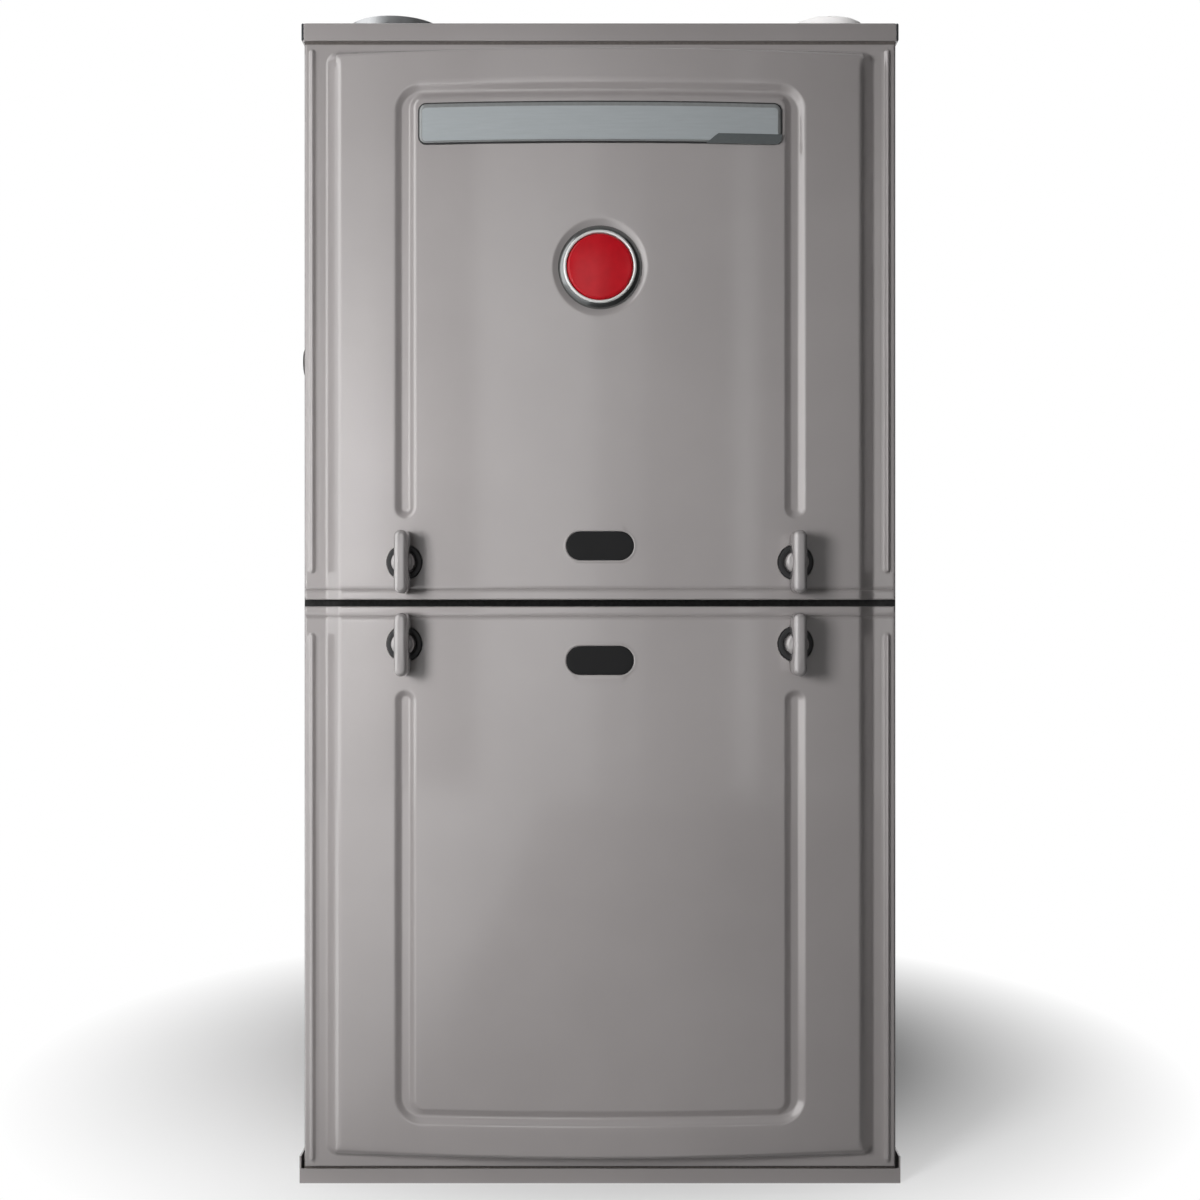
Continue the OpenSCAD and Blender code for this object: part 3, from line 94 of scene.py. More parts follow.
class Shape:
    """Collects vertices and faces of one piece."""

    def __init__(self):
        self.vertices = []
        self.faces = []

    def rings(self, rings, capped=True):
        """Joins closed rings of as many points each, and caps the first and last."""
        count = len(rings[0])
        base = len(self.vertices)
        for ring in rings:
            self.vertices.extend(ring)
        for k in range(len(rings) - 1):
            a, b = base + k * count, base + (k + 1) * count
            for i in range(count):
                j = (i + 1) % count
                self.faces.append((a + i, a + j, b + j, b + i))
        if capped:
            last = base + (len(rings) - 1) * count
            self.faces.append(tuple(range(base, base + count)))
            self.faces.append(tuple(range(last, last + count)))
        return self

    def turned(self, profile, origin, axis, steps=64, closed=False):
        """Turns (radius, height) points about an axis through origin.
        A closed profile comes back to its first point, as a tube's does."""
        axis = Vector(axis).normalized()
        side = axis.orthogonal().normalized()
        other = axis.cross(side)
        origin = Vector(origin)
        rings = []
        for radius, height in profile + (profile[:1] if closed else []):
            rings.append([
                origin + axis * height + (side * math.cos(a) + other * math.sin(a)) * radius
                for a in (2 * math.pi * i / steps for i in range(steps))
            ])
        return self.rings(rings, capped=not closed)

    def block(self, low, high, round_edge):
        """A box with chamfered edges."""
        x0, y0, z0 = low
        x1, y1, z1 = high
        r = min(round_edge, (x1 - x0) / 3, (y1 - y0) / 3, (z1 - z0) / 3)

        def ring(z, inset):
            a, b, c, d = x0 + inset, x1 - inset, y0 + inset, y1 - inset
            return [Vector(p) for p in (
                (a + r, c, z), (b - r, c, z), (b, c + r, z), (b, d - r, z),
                (b - r, d, z), (a + r, d, z), (a, d - r, z), (a, c + r, z),
            )]

        return self.rings([ring(z0, r * 0.7), ring(z0 + r, 0), ring(z1 - r, 0), ring(z1, r * 0.7)])

    def piece(self, name, finish, body, slot, replaces=(), sharp=35):
        """The closed mesh as a piece that rides on a body and stands for the named CAD nodes."""
        mesh = bpy.data.meshes.new(name)
        mesh.from_pydata([tuple(v) for v in self.vertices], [], self.faces)
        work = bmesh.new()
        work.from_mesh(mesh)
        bmesh.ops.remove_doubles(work, verts=work.verts, dist=1e-6)
        bmesh.ops.recalc_face_normals(work, faces=work.faces)
        work.to_mesh(mesh)
        work.free()
        mesh.shade_smooth()
        mesh.set_sharp_from_angle(angle=math.radians(sharp))
        mesh.materials.append(finishes[finish])
        piece = add_object(name, mesh)
        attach(piece, body)
        if replaces:
            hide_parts(*replaces)


# Materials --------------------------------------------------------------------------------

def new_material(name):
    material = bpy.data.materials.new(name)
    material.use_nodes = True
    return material


def scaled(tree, value, low, high, at_low, at_high):
    """value mapped from low..high to at_low..at_high, kept within them."""
    node = tree.nodes.new("ShaderNodeMapRange")
    tree.links.new(value, node.inputs[0])
    for socket, number in zip(list(node.inputs)[1:5], (low, high, at_low, at_high)):
        socket.default_value = number
    return node.outputs[0]


def combined(tree, kind, operation, *values):
    """The outputs of a math node that takes the values."""
    node = tree.nodes.new(kind)
    node.operation = operation
    for value, socket in zip(values, node.inputs):
        tree.links.new(value, socket)
    return node.outputs


NOISE_LOW, NOISE_HIGH = 0.3, 0.7

finishes = {}


class Finish:
    """One procedural material: a Principled shader with helpers for its texture nodes.
    Other sockets of the shader are set by their names, with _ for a space."""

    def __init__(self, name, color, roughness, metallic=0.0, **sockets):
        finishes[name] = new_material(name)
        self.tree = finishes[name].node_tree
        self.shader = self.tree.nodes["Principled BSDF"]
        self.color = color
        self.shader.inputs["Base Color"].default_value = (*color, 1.0)
        self.shader.inputs["Roughness"].default_value = roughness
        self.shader.inputs["Metallic"].default_value = metallic
        for socket, value in sockets.items():
            self.shader.inputs[socket.replace("_", " ")].default_value = value
        self.place = self.tree.nodes.new("ShaderNodeTexCoord").outputs["Object"]
        self.bump_normal = None

    def link(self, output, target):
        self.tree.links.new(output, target)

    def stretched(self, scale):
        mapping = self.tree.nodes.new("ShaderNodeMapping")
        mapping.inputs["Scale"].default_value = scale
        self.link(self.place, mapping.inputs["Vector"])
        return mapping.outputs["Vector"]

    def noise(self, scale, detail=3.0, stretch=None):
        noise = self.tree.nodes.new("ShaderNodeTexNoise")
        noise.inputs["Scale"].default_value = scale
        noise.inputs["Detail"].default_value = detail
        self.link(self.stretched(stretch) if stretch else self.place, noise.inputs["Vector"])
        return noise.outputs["Fac"]

    def cells(self, scale):
        cells = self.tree.nodes.new("ShaderNodeTexVoronoi")
        cells.inputs["Scale"].default_value = scale
        self.link(self.place, cells.inputs["Vector"])
        return cells.outputs["Color"]

    def vary_color(self, fac, darker, lighter, start=NOISE_LOW, end=NOISE_HIGH):
        """Runs the base colour from darker to lighter times itself, as fac goes start to end."""
        mix = self.tree.nodes.new("ShaderNodeMix")
        mix.data_type = "RGBA"
        mix.inputs["A"].default_value = (*[c * darker for c in self.color], 1)
        mix.inputs["B"].default_value = (*[min(c * lighter, 1) for c in self.color], 1)
        self.link(scaled(self.tree, fac, start, end, 0, 1), mix.inputs["Factor"])
        self.link(mix.outputs["Result"], self.shader.inputs["Base Color"])

    def vary_roughness(self, fac, low, high):
        share = scaled(self.tree, fac, NOISE_LOW, NOISE_HIGH, low, high)
        self.link(share, self.shader.inputs["Roughness"])

    def bump(self, fac, strength, distance):
        """Adds a bump over those that the finish has."""
        bump = self.tree.nodes.new("ShaderNodeBump")
        bump.inputs["Strength"].default_value = strength
        bump.inputs["Distance"].default_value = distance
        self.link(fac, bump.inputs["Height"])
        if self.bump_normal:
            self.link(self.bump_normal, bump.inputs["Normal"])
        self.bump_normal = bump.outputs["Normal"]
        self.link(self.bump_normal, self.shader.inputs["Normal"])


def make_sheet_and_metal():
    """The casing's paint, steel and aluminium."""
    paint = Finish("casing_paint", (0.36, 0.336, 0.333), 0.36, 0.15, Coat_Weight=1.0,
                   Coat_Roughness=0.1, Coat_IOR=1.8)
    paint.vary_color(paint.noise(9.0), 0.96, 1.04)
    paint.vary_roughness(paint.noise(60.0), 0.33, 0.4)
    paint.bump(paint.noise(2600.0, 1.0), 0.05, 0.2 * MM)
    paint.bump(paint.noise(28.0, 2.0), 0.04, 0.6 * MM)

    steel = Finish("bare_steel", (0.55, 0.56, 0.57), 0.38, 0.9)
    steel.vary_color(steel.cells(130.0), 0.82, 1.1, 0.0, 1.0)
    steel.vary_roughness(steel.cells(130.0), 0.3, 0.46)
    steel.bump(steel.noise(300.0), 0.06, 0.2 * MM)

    tube = Finish("tube_steel", (0.5, 0.46, 0.4), 0.5, 0.85)
    tube.vary_color(tube.noise(18.0, 5.0), 0.7, 1.15)
    tube.bump(tube.noise(700.0), 0.08, 0.2 * MM)

    fin = Finish("fin_aluminium", (0.72, 0.73, 0.74), 0.32, 0.95)
    fin.vary_color(fin.noise(50.0, 4.0, (1, 1, 12)), 0.9, 1.05)
    fin.bump(fin.noise(400.0, 2.0, (1, 1, 20)), 0.08, 0.2 * MM)

    cast = Finish("cast_aluminium", (0.46, 0.47, 0.48), 0.52, 0.85)
    cast.vary_color(cast.noise(70.0, 4.0), 0.86, 1.1)
    cast.bump(cast.noise(900.0, 4.0), 0.25, 0.25 * MM)


def make_trim():
    """The plate, windows, latches and badge."""
    plate = Finish("plate_silver", (0.4, 0.43, 0.445), 0.34, 0.25)
    plate.vary_color(plate.noise(700.0, 2.0, (0.06, 1, 1)), 0.97, 1.03)
    plate.bump(plate.noise(1500.0, 2.0, (0.04, 1, 1)), 0.03, 0.1 * MM)

    # Darker grey that paints the shade on the name plate's bevel
    bevel_shade_grey = Finish("plate_frame", (0.27, 0.28, 0.28), 0.36, 0.3)
    bevel_shade_grey.vary_color(bevel_shade_grey.noise(300.0), 0.94, 1.06)

    tab = Finish("plate_tab", (0.1, 0.11, 0.112), 0.36, 0.1)
    tab.vary_color(tab.noise(400.0), 0.95, 1.05)

    glass = Finish("window_glass", (0.013, 0.013, 0.0135), 0.35, Specular_IOR_Level=0.2)
    glass.vary_roughness(glass.noise(60.0), 0.3, 0.4)

    grip = Finish("latch_paint", (0.35, 0.332, 0.33), 0.25, 0.35, Coat_Weight=1.0,
                  Coat_Roughness=0.1, Coat_IOR=1.9)
    grip.vary_color(grip.noise(60.0), 0.96, 1.04)
    grip.bump(grip.noise(2400.0, 1.0), 0.05, 0.15 * MM)

    red = Finish("badge_red", (0.45, 0.006, 0.013), 0.12, Specular_IOR_Level=0.35)
    red.vary_color(red.noise(120.0), 0.92, 1.06)

    chrome = Finish("bright_trim", (0.86, 0.86, 0.85), 0.2, 0.5)
    chrome.vary_roughness(chrome.noise(200.0), 0.16, 0.24)

    dark_chrome = Finish("dark_trim", (0.25, 0.26, 0.26), 0.16, 1.0)
    dark_chrome.vary_roughness(dark_chrome.noise(200.0), 0.13, 0.2)


def make_plastic_and_rubber():
    """Plastics, rubber, the hose and the black pipes."""
    black = Finish("black_plastic", (0.022, 0.022, 0.023), 0.42)
    black.vary_color(black.noise(40.0), 0.85, 1.2)
    black.bump(black.noise(1800.0, 2.0), 0.1, 0.1 * MM)

    white = Finish("white_plastic", (0.93, 0.915, 0.91), 0.3)
    white.vary_color(white.noise(25.0), 0.97, 1.02)
    white.bump(white.noise(500.0), 0.03, 0.1 * MM)

    rubber = Finish("black_rubber", (0.018, 0.018, 0.018), 0.62)
    rubber.vary_color(rubber.noise(90.0), 0.8, 1.3)
    rubber.bump(rubber.noise(1200.0), 0.12, 0.15 * MM)

    hose = Finish("hose_rubber", (0.36, 0.02, 0.015), 0.4)
    hose.vary_color(hose.noise(80.0), 0.9, 1.1)

    pipe = Finish("pipe_black", (0.03, 0.03, 0.032), 0.48, 0.3)
    pipe.vary_color(pipe.noise(60.0, 4.0), 0.8, 1.4)
    pipe.bump(pipe.noise(500.0, 4.0), 0.15, 0.2 * MM)


def make_small_parts():
    """The motors, brass, ceramic, board, switches, insulation and seals."""
    motor = Finish("motor_paint", (0.035, 0.038, 0.042), 0.4, 0.2)
    motor.vary_color(motor.noise(40.0), 0.85, 1.25)
    motor.bump(motor.noise(900.0), 0.1, 0.15 * MM)

    brass = Finish("orifice_brass", (0.62, 0.42, 0.14), 0.26, 1.0)
    brass.vary_roughness(brass.noise(300.0), 0.2, 0.34)

    ceramic = Finish("ceramic_white", (0.8, 0.77, 0.7), 0.34)
    ceramic.vary_color(ceramic.noise(150.0), 0.95, 1.03)

    board = Finish("board_green", (0.012, 0.09, 0.04), 0.3, Coat_Weight=0.4)
    board.vary_color(board.noise(900.0, 1.0), 0.75, 1.5)

    switch = Finish("switch_red", (0.5, 0.02, 0.015), 0.34)
    switch.vary_color(switch.noise(100.0), 0.92, 1.05)

    foil = Finish("foil_wool", (0.62, 0.62, 0.6), 0.34, 0.75)
    foil.vary_color(foil.noise(35.0, 4.0), 0.86, 1.08)
    foil.bump(foil.noise(45.0, 5.0), 0.5, 1.5 * MM)

    # Foam and felt also colour the dark strips of painted shade in the door gaps.
    foam = Finish("seal_foam", (0.02, 0.02, 0.02), 0.85)
    foam.vary_color(foam.noise(400.0), 0.7, 1.5)
    foam.bump(foam.noise(1500.0, 2.0), 0.4, 0.3 * MM)

    felt = Finish("seal_felt", (0.11, 0.098, 0.092), 0.9)
    felt.vary_color(felt.noise(500.0), 0.8, 1.25)


make_sheet_and_metal()
make_trim()
make_plastic_and_rubber()
make_small_parts()

# Doors ------------------------------------------------------------------------------------

# Places along a door run from its inner end, at the split, to its outer end
DOOR_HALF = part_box("upper_door")[1].x
DOOR_BACK = 0.4 * MM
EDGE_R = 1.3 * MM

# Heights of the border, the field's edge and its crown in front of the casing, and the
# field's flanks with the shares of their width that are rounded at the foot and the head
BORDER = 8 * MM
CROWN = 32.5 * MM
FIELD_EDGE = 20.3 * MM
FIELD_FOOT_X = DOOR_HALF - 16.5 * MM
SIDE_FLANK = 11.3 * MM
FIELD_EDGE_X = FIELD_FOOT_X - SIDE_FLANK
FIELD_CORNER_R = 9 * MM
FIELD_BOW = 1.8 * MM
FLANK_FOOT = 0.1
SIDE_HEAD, END_HEAD = 0.16, 0.5
SAG = CROWN - FIELD_EDGE
CROWN_R = (FIELD_EDGE_X ** 2 + SAG ** 2) / (2 * SAG)

# Line along the hem at the split, and the ribs near the door's sides
HEM = 7.1 * MM
HEM_LINE = 0.9 * MM
HEM_LINE_DEPTH = 1 * MM
RIB_X = DOOR_HALF - 5.7 * MM
RIB_HALF = 2.4 * MM
RIB_H = 2.4 * MM
RIB_SLOPE = 0.75
RIB_START = 20 * MM
RIB_END_GAP = 4 * MM

# U-shaped groove: middle of its legs, widths, and outer and inner corners
GROOVE_X = 143.6 * MM
GROOVE_W = 14.8 * MM
GROOVE_RUN = 10.6 * MM
GROOVE_DEPTH = 4 * MM
GROOVE_WALL = 4.4 * MM
GROOVE_R = 19 * MM
GROOVE_INNER_R = 6.3 * MM

# Seats of the latches, the sight window and the badge; a name in _W is a place along a door
LATCH_X = 144 * MM
LATCH_W = 27.6 * MM
LATCH_SEAT_R = 13.15 * MM
LATCH_SEAT_DEPTH = 3 * MM
WINDOW_W = 39.6 * MM
WINDOW_SIZE = (49.6 * MM, 21.4 * MM)
WINDOW_SEAT_DEPTH = 1.2 * MM
WINDOW_SEAT_INSET = 0.2 * MM
WINDOW_LIP = 0.9 * MM
WINDOW_LIP_H = 0.4 * MM
DISH_R = 35.5 * MM
DISH_DEPTH = 3.5 * MM
DISH_WALL = 6 * MM
DISH_BRIM = 1 * MM
BADGE_SEAT = 2.5 * MM


class Door:
    """One door, with its places along w in mm as its arguments: where its raised field meets the
    border (foot) and where its crown ends (edge), the groove's outer edge (run) and the ends of
    the groove's legs (leg). Its outer end is cut short by trim. The upper door has the dish."""

    def __init__(self, node, is_upper, trim, foot, edge, run, leg):
        low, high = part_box(node)
        self.length = high.z - low.z - trim * MM
        self.start = low.z if is_upper else high.z
        self.outward = 1 if is_upper else -1
        self.foot = foot * MM
        self.edge = edge * MM
        self.run = run * MM
        self.leg = leg * MM
        self.dish = None
        if is_upper:
            badge_low, badge_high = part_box("badge_disc")
            self.dish = (badge_low.z + badge_high.z) / 2 - self.start

    def z(self, w):
        return self.start + self.outward * w


upper = Door("upper_door", True, trim=1.6, foot=411.0, edge=404.7, run=379.5, leg=60.6)
lower = Door("lower_door", False, trim=2.1, foot=411.6, edge=405.5, run=380.9, leg=62.0)


def crown_height(x):
    return CROWN - CROWN_R + np.sqrt(CROWN_R ** 2 - x ** 2)


def eased(t, foot, head):
    """0 to 1 as t goes from 0 to 1, rounded over foot at the start and over head at the end."""
    t = np.clip(t, -foot, 1 + head)
    start = (t + foot) ** 2 / (4 * foot)
    end = 1 - (1 + head - t) ** 2 / (4 * head)
    return np.where(t < foot, start, np.where(t > 1 - head, end, t))


def inside_outline(x, w, half, top, radius):
    """Distance inside an outline straight at |x| = half and w = top, with round corners."""
    qx = np.abs(x) - (half - radius)
    qw = w - (top - radius)
    corner = np.hypot(np.maximum(qx, 0), np.maximum(qw, 0))
    return radius - corner - np.minimum(np.maximum(qx, qw), 0)


def flank_height(x, w, door):
    """The raised field: its crown, its sloped sides and its steeper, slightly bowed outer end."""
    w = w + FIELD_BOW * (x / FIELD_FOOT_X) ** 2
    inside = inside_outline(x, w, FIELD_FOOT_X, door.foot, FIELD_CORNER_R)
    qx = np.maximum(np.abs(x) - (FIELD_FOOT_X - FIELD_CORNER_R), 0)
    qw = np.maximum(w - (door.foot - FIELD_CORNER_R), 0)
    # 1 on the end's flank and 0 on the sides', with all between round the corners
    nearer_end = door.foot - w < FIELD_FOOT_X - np.abs(x)
    end_share = np.where(qx + qw > 0, qw / np.maximum(qx + qw, 1e-9), nearer_end)
    width = SIDE_FLANK + (door.foot - door.edge - SIDE_FLANK) * end_share
    head = SIDE_HEAD + (END_HEAD - SIDE_HEAD) * end_share * (not door.dish)
    return BORDER + (crown_height(x) - BORDER) * eased(inside / width, foot=FLANK_FOOT, head=head)


def groove_depth(x, w, door):
    """The U-shaped groove: a run at the outer end, two legs and their round ends."""
    outer = inside_outline(x, w, GROOVE_X + GROOVE_W / 2, door.run, GROOVE_R)
    inner = inside_outline(x, w, GROOVE_X - GROOVE_W / 2, door.run - GROOVE_RUN, GROOVE_INNER_R)
    leg_centre = door.leg + GROOVE_W / 2
    leg_end = GROOVE_W / 2 - np.hypot(np.abs(x) - GROOVE_X, w - leg_centre)
    inside = np.where(w > leg_centre, np.minimum(outer, -inner), leg_end)
    return GROOVE_DEPTH * eased(inside / GROOVE_WALL, foot=0.25, head=0.2)


def stadium_distance(x, w, size):
    """Distance inside a stadium of that length and height."""
    half = (size[0] - size[1]) / 2
    return size[1] / 2 - np.hypot(np.maximum(np.abs(x) - half, 0), w)


def door_height(x, w, door):
    """How far the door's skin stands in front of the casing."""
    height = flank_height(x, w, door) - groove_depth(x, w, door)

    from_latch = np.hypot(np.abs(x) - LATCH_X, w - LATCH_W)
    latch_floor = crown_height(LATCH_X) - LATCH_SEAT_DEPTH
    height = np.where(from_latch < LATCH_SEAT_R, latch_floor, height)

    in_window = stadium_distance(x, w - WINDOW_W, WINDOW_SIZE)
    lip = 1 - np.abs(in_window + WINDOW_LIP) / WINDOW_LIP
    height = height + WINDOW_LIP_H * eased(lip, foot=0.3, head=0.3)
    height = np.where(in_window > WINDOW_SEAT_INSET, CROWN - WINDOW_SEAT_DEPTH, height)

    if door.dish:
        in_dish = DISH_R - np.hypot(x, w - door.dish)
        wall = CROWN - DISH_DEPTH * eased(in_dish / DISH_WALL, foot=0.2, head=0.2)
        height = np.where(in_dish > -DISH_BRIM, np.minimum(height, wall), height)

    rib_end = door.length - RIB_END_GAP - RIB_HALF
    past_rib = np.maximum(np.maximum(RIB_START + RIB_HALF - w, w - rib_end), 0)
    in_rib = 1 - np.hypot(np.abs(x) - RIB_X, past_rib) / RIB_HALF
    height = height + RIB_H * eased(in_rib / RIB_SLOPE, foot=0.2, head=0.3)

    in_line = 1 - np.abs(w - HEM - HEM_LINE / 2) / HEM_LINE
    height = height - HEM_LINE_DEPTH * eased(in_line, foot=0.3, head=0.3)

    edge = np.minimum(np.minimum(DOOR_HALF - np.abs(x), w), door.length - w)
    edge = np.clip(edge, 0, EDGE_R)
    return height - EDGE_R + np.sqrt(EDGE_R ** 2 - (EDGE_R - edge) ** 2)


def grid_lines(low, high, zones, coarse):
    """Places from low to high, spaced by each (start, end, step) zone and by coarse between."""
    marks = [low]
    for start, end, step in sorted(zones) + [(high, high, coarse)]:
        start = max(start, marks[-1])
        if start - marks[-1] > 1e-6:
            gaps = math.ceil((start - marks[-1]) / coarse)
            marks.extend(np.linspace(marks[-1], start, gaps + 1)[1:])
        if end - start > 1e-6:
            marks.extend(np.linspace(start, end, math.ceil((end - start) / step) + 1)[1:])
    return np.array(marks)


def door_lines(door):
    """Grid lines across and along a door, close together where its skin bends."""
    fine, coarse = 0.6 * MM, 4 * MM
    middle = 0.75 * MM if door.dish else 1 * MM
    half = grid_lines(0, DOOR_HALF, [
        (0, DISH_R + 2 * MM if door.dish else WINDOW_SIZE[0] / 2 + 6 * MM, middle),
        (LATCH_X - LATCH_SEAT_R - 1 * MM, LATCH_X + LATCH_SEAT_R + 1 * MM, fine),
        (FIELD_EDGE_X - 3 * MM, FIELD_FOOT_X + 2 * MM, 0.8 * MM),
        (RIB_X - RIB_HALF - 0.4 * MM, RIB_X + RIB_HALF + 0.4 * MM, fine),
        (DOOR_HALF - EDGE_R, DOOR_HALF, 0.2 * MM),
    ], coarse)
    zones = [
        (0, EDGE_R, 0.2 * MM),
        (HEM - 0.5 * MM, HEM + HEM_LINE + 0.5 * MM, 0.25 * MM),
        (LATCH_W - LATCH_SEAT_R - 1 * MM, WINDOW_W + WINDOW_SIZE[1] / 2 + 1 * MM, fine),
        (door.leg - 1 * MM, door.leg + GROOVE_W / 2 + 1 * MM, fine),
        (door.run - GROOVE_R, door.run + 1 * MM, fine),
        (door.edge - FIELD_BOW - 2 * MM, door.foot + 1.5 * MM, 0.5 * MM),
        (door.length - EDGE_R, door.length, 0.2 * MM),
    ]
    if door.dish:
        reach = DISH_R + 1 * MM
        zones.append((door.dish - reach, door.dish + reach, middle))
    return np.concatenate([-half[:0:-1], half]), grid_lines(0, door.length, zones, coarse)


def every(count, step):
    """Indexes of every step-th line, and the last."""
    return sorted(set(range(0, count, step)) | {count - 1})


def border_loop(columns, rows):
    """Grid places round the edge, in order, as (column, row) pairs."""
    last_column, last_row = columns[-1], rows[-1]
    return (
        [(c, 0) for c in columns[:-1]]
        + [(last_column, r) for r in rows[:-1]]
        + [(c, last_row) for c in columns[:0:-1]]
        + [(0, r) for r in rows[:0:-1]]
    )


INNER_STEP = 4


def door_shape(door):
    """The door's pressed skin as a closed shell: face, returned edges and inner side."""
    xs, ws = door_lines(door)
    grid_x, grid_w = np.meshgrid(xs, ws, indexing="ij")
    height = door_height(grid_x, grid_w, door)
    shape = Shape()
    rows = len(ws)

    # Outer face
    shape.vertices = [
        Vector((x, FRONT_Y - height[i, j], door.z(w)))
        for i, x in enumerate(xs) for j, w in enumerate(ws)
    ]
    for i in range(len(xs) - 1):
        for j in range(rows - 1):
            a = i * rows + j
            shape.faces.append((a, a + 1, a + rows + 1, a + rows))

    # Inner face, on some of the lines, clear of the lowest skin around each point
    columns, lines = every(len(xs), INNER_STEP), every(rows, INNER_STEP)
    inner = {}
    for n, i in enumerate(columns):
        i0, i1 = columns[max(n - 1, 0)], columns[min(n + 1, len(columns) - 1)]
        for m, j in enumerate(lines):
            j0, j1 = lines[max(m - 1, 0)], lines[min(m + 1, len(lines) - 1)]
            deep = max(height[i0:i1 + 1, j0:j1 + 1].min() - SHEET, DOOR_BACK)
            x = np.clip(xs[i], -DOOR_HALF + SHEET, DOOR_HALF - SHEET)
            w = np.clip(ws[j], SHEET, door.length - SHEET)
            inner[i, j] = len(shape.vertices)
            shape.vertices.append(Vector((x, FRONT_Y - deep, door.z(w))))
    for i0, i1 in zip(columns, columns[1:]):
        for j0, j1 in zip(lines, lines[1:]):
            shape.faces.append((inner[i0, j0], inner[i1, j0], inner[i1, j1], inner[i0, j1]))

    # Returned edges, outer and inner, and the rim that joins them
    def back_ring(loop):
        ring = []
        for vertex in loop:
            place = shape.vertices[vertex]
            ring.append(len(shape.vertices))
            shape.vertices.append(Vector((place.x, FRONT_Y - DOOR_BACK, place.z)))
        for k in range(len(loop)):
            n = (k + 1) % len(loop)
            shape.faces.append((loop[k], loop[n], ring[n], ring[k]))
        return ring

    outer_loop = border_loop(range(len(xs)), range(rows))
    outer_ring = back_ring([i * rows + j for i, j in outer_loop])
    inner_loop = border_loop(columns, lines)
    inner_back = dict(zip(inner_loop, back_ring([inner[place] for place in inner_loop])))
    order = {place: k for k, place in enumerate(outer_loop)}
    for k, place in enumerate(inner_loop):
        following = inner_loop[(k + 1) % len(inner_loop)]
        a, b = order[place], order[following] or len(outer_loop)
        rim = [outer_ring[n % len(outer_ring)] for n in range(a, b + 1)]
        shape.faces.append((*rim, inner_back[following], inner_back[place]))
    return shape


def add_switch_tab(shape):
    """The angled tab inside the lower door that presses the door switch."""
    low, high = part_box("door_switch_plunger")
    x, z = (low.x + high.x) / 2, (low.z + high.z) / 2
    tab_y = low.y - 0.3 * MM
    tab_t = 2 * MM
    half, drop, rise = 10 * MM, 6 * MM, 5 * MM
    skin_y = FRONT_Y - crown_height(x + half) + SHEET / 2
    shape.block((x - half, skin_y, z - drop), (x + half, tab_y, z - drop + tab_t), 0.4 * MM)
    shape.block((x - half, tab_y - tab_t, z - drop), (x + half, tab_y, z + rise), 0.4 * MM)


def make_doors():
    for name, door in (("upper_door", upper), ("lower_door", lower)):
        shape = door_shape(door)
        if door is lower:
            add_switch_tab(shape)
        shape.piece(name + "_skin", "casing_paint", name, "casing_paint", [name], sharp=50)


# Plate, badge, windows --------------------------------------------------------------------

def outline_columns(half_w, half_h, radius, count=40, steps=10):
    """(x, half height) pairs across a rounded rectangle, close together in its corners."""
    turn = [math.pi / 2 * k / steps for k in range(steps + 1)]
    left = [
        (-half_w + radius * (1 - math.sin(math.pi / 2 - a)), half_h - radius * (1 - math.sin(a)))
        for a in turn
    ]
    flat = half_w - radius
    middle = [(-flat + 2 * flat * k / count, half_h) for k in range(1, count)]
    return left + middle + [(-x, h) for x, h in left[::-1]]


def on_crown(x, z, proud):
    """The point that stands proud of the doors' crown there."""
    return Vector((x, FRONT_Y - crown_height(x) - proud, z))


def curved_ring(columns, centre_z, proud):
    """A closed ring of points that follows the crown, proud of it."""
    over = [on_crown(x, centre_z + h, proud) for x, h in columns]
    under = [on_crown(x, centre_z - h, proud) for x, h in columns]
    return over + under[::-1]


def add_columns(shape, start, count):
    """Fills a ring of count points over and count under with faces from top to bottom."""
    for k in range(count - 1):
        shape.faces.append((
            start + k, start + k + 1, start + 2 * count - 2 - k, start + 2 * count - 1 - k,
        ))


PLATE_T = 2.4 * MM
PLATE_RIM = 1.1 * MM
PLATE_GROWTH = 0.6 * MM


def make_plate():
    low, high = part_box("name_plate")
    centre = (low.z + high.z) / 2 + PLATE_GROWTH
    half_w, half_h, radius = high.x, (high.z - low.z) / 2 + PLATE_GROWTH, 6 * MM
    count = len(outline_columns(half_w, half_h, radius))

    def ring(inset, proud, drop=0.0):
        columns = outline_columns(half_w - inset, half_h - inset, max(radius - inset, 1 * MM))
        return curved_ring(columns, centre - drop, proud)

    # Dark rim round the plate
    clear = 0.05 * MM
    rim = [
        ring(0, clear), ring(0, 1.1 * MM), ring(0.3 * MM, 1.4 * MM),
        ring(PLATE_RIM + 0.3 * MM, 1.4 * MM), ring(PLATE_RIM + 0.3 * MM, clear),
    ]
    Shape().rings(rim + rim[:1], capped=False).piece(
        "name_plate_rim", "black_plastic", "upper_door", "plate_silver",
    )

    # Grey bevel, wider over the face than under it: a band of painted shade on the plate's bevel
    drop, inset = 0.9 * MM, 3.1 * MM
    bevel = [
        ring(PLATE_RIM, clear), ring(PLATE_RIM, 1.7 * MM), ring(PLATE_RIM + 0.2 * MM, 1.9 * MM),
        ring(inset - 0.2 * MM, PLATE_T, drop), ring(inset, PLATE_T - 0.1 * MM, drop),
        ring(inset, clear, drop),
    ]
    Shape().rings(bevel + bevel[:1], capped=False).piece(
        "name_plate_bevel", "plate_frame", "upper_door", "plate_silver",
    )

    inset += clear
    face = Shape().rings([
        ring(inset, clear, drop), ring(inset, PLATE_T + 0.2 * MM, drop),
    ], capped=False)
    add_columns(face, 0, count)
    add_columns(face, 2 * count, count)
    face.piece("name_plate_face", "plate_silver", "upper_door", "plate_silver", ["name_plate"])
    make_plate_tab(centre, half_w, half_h)


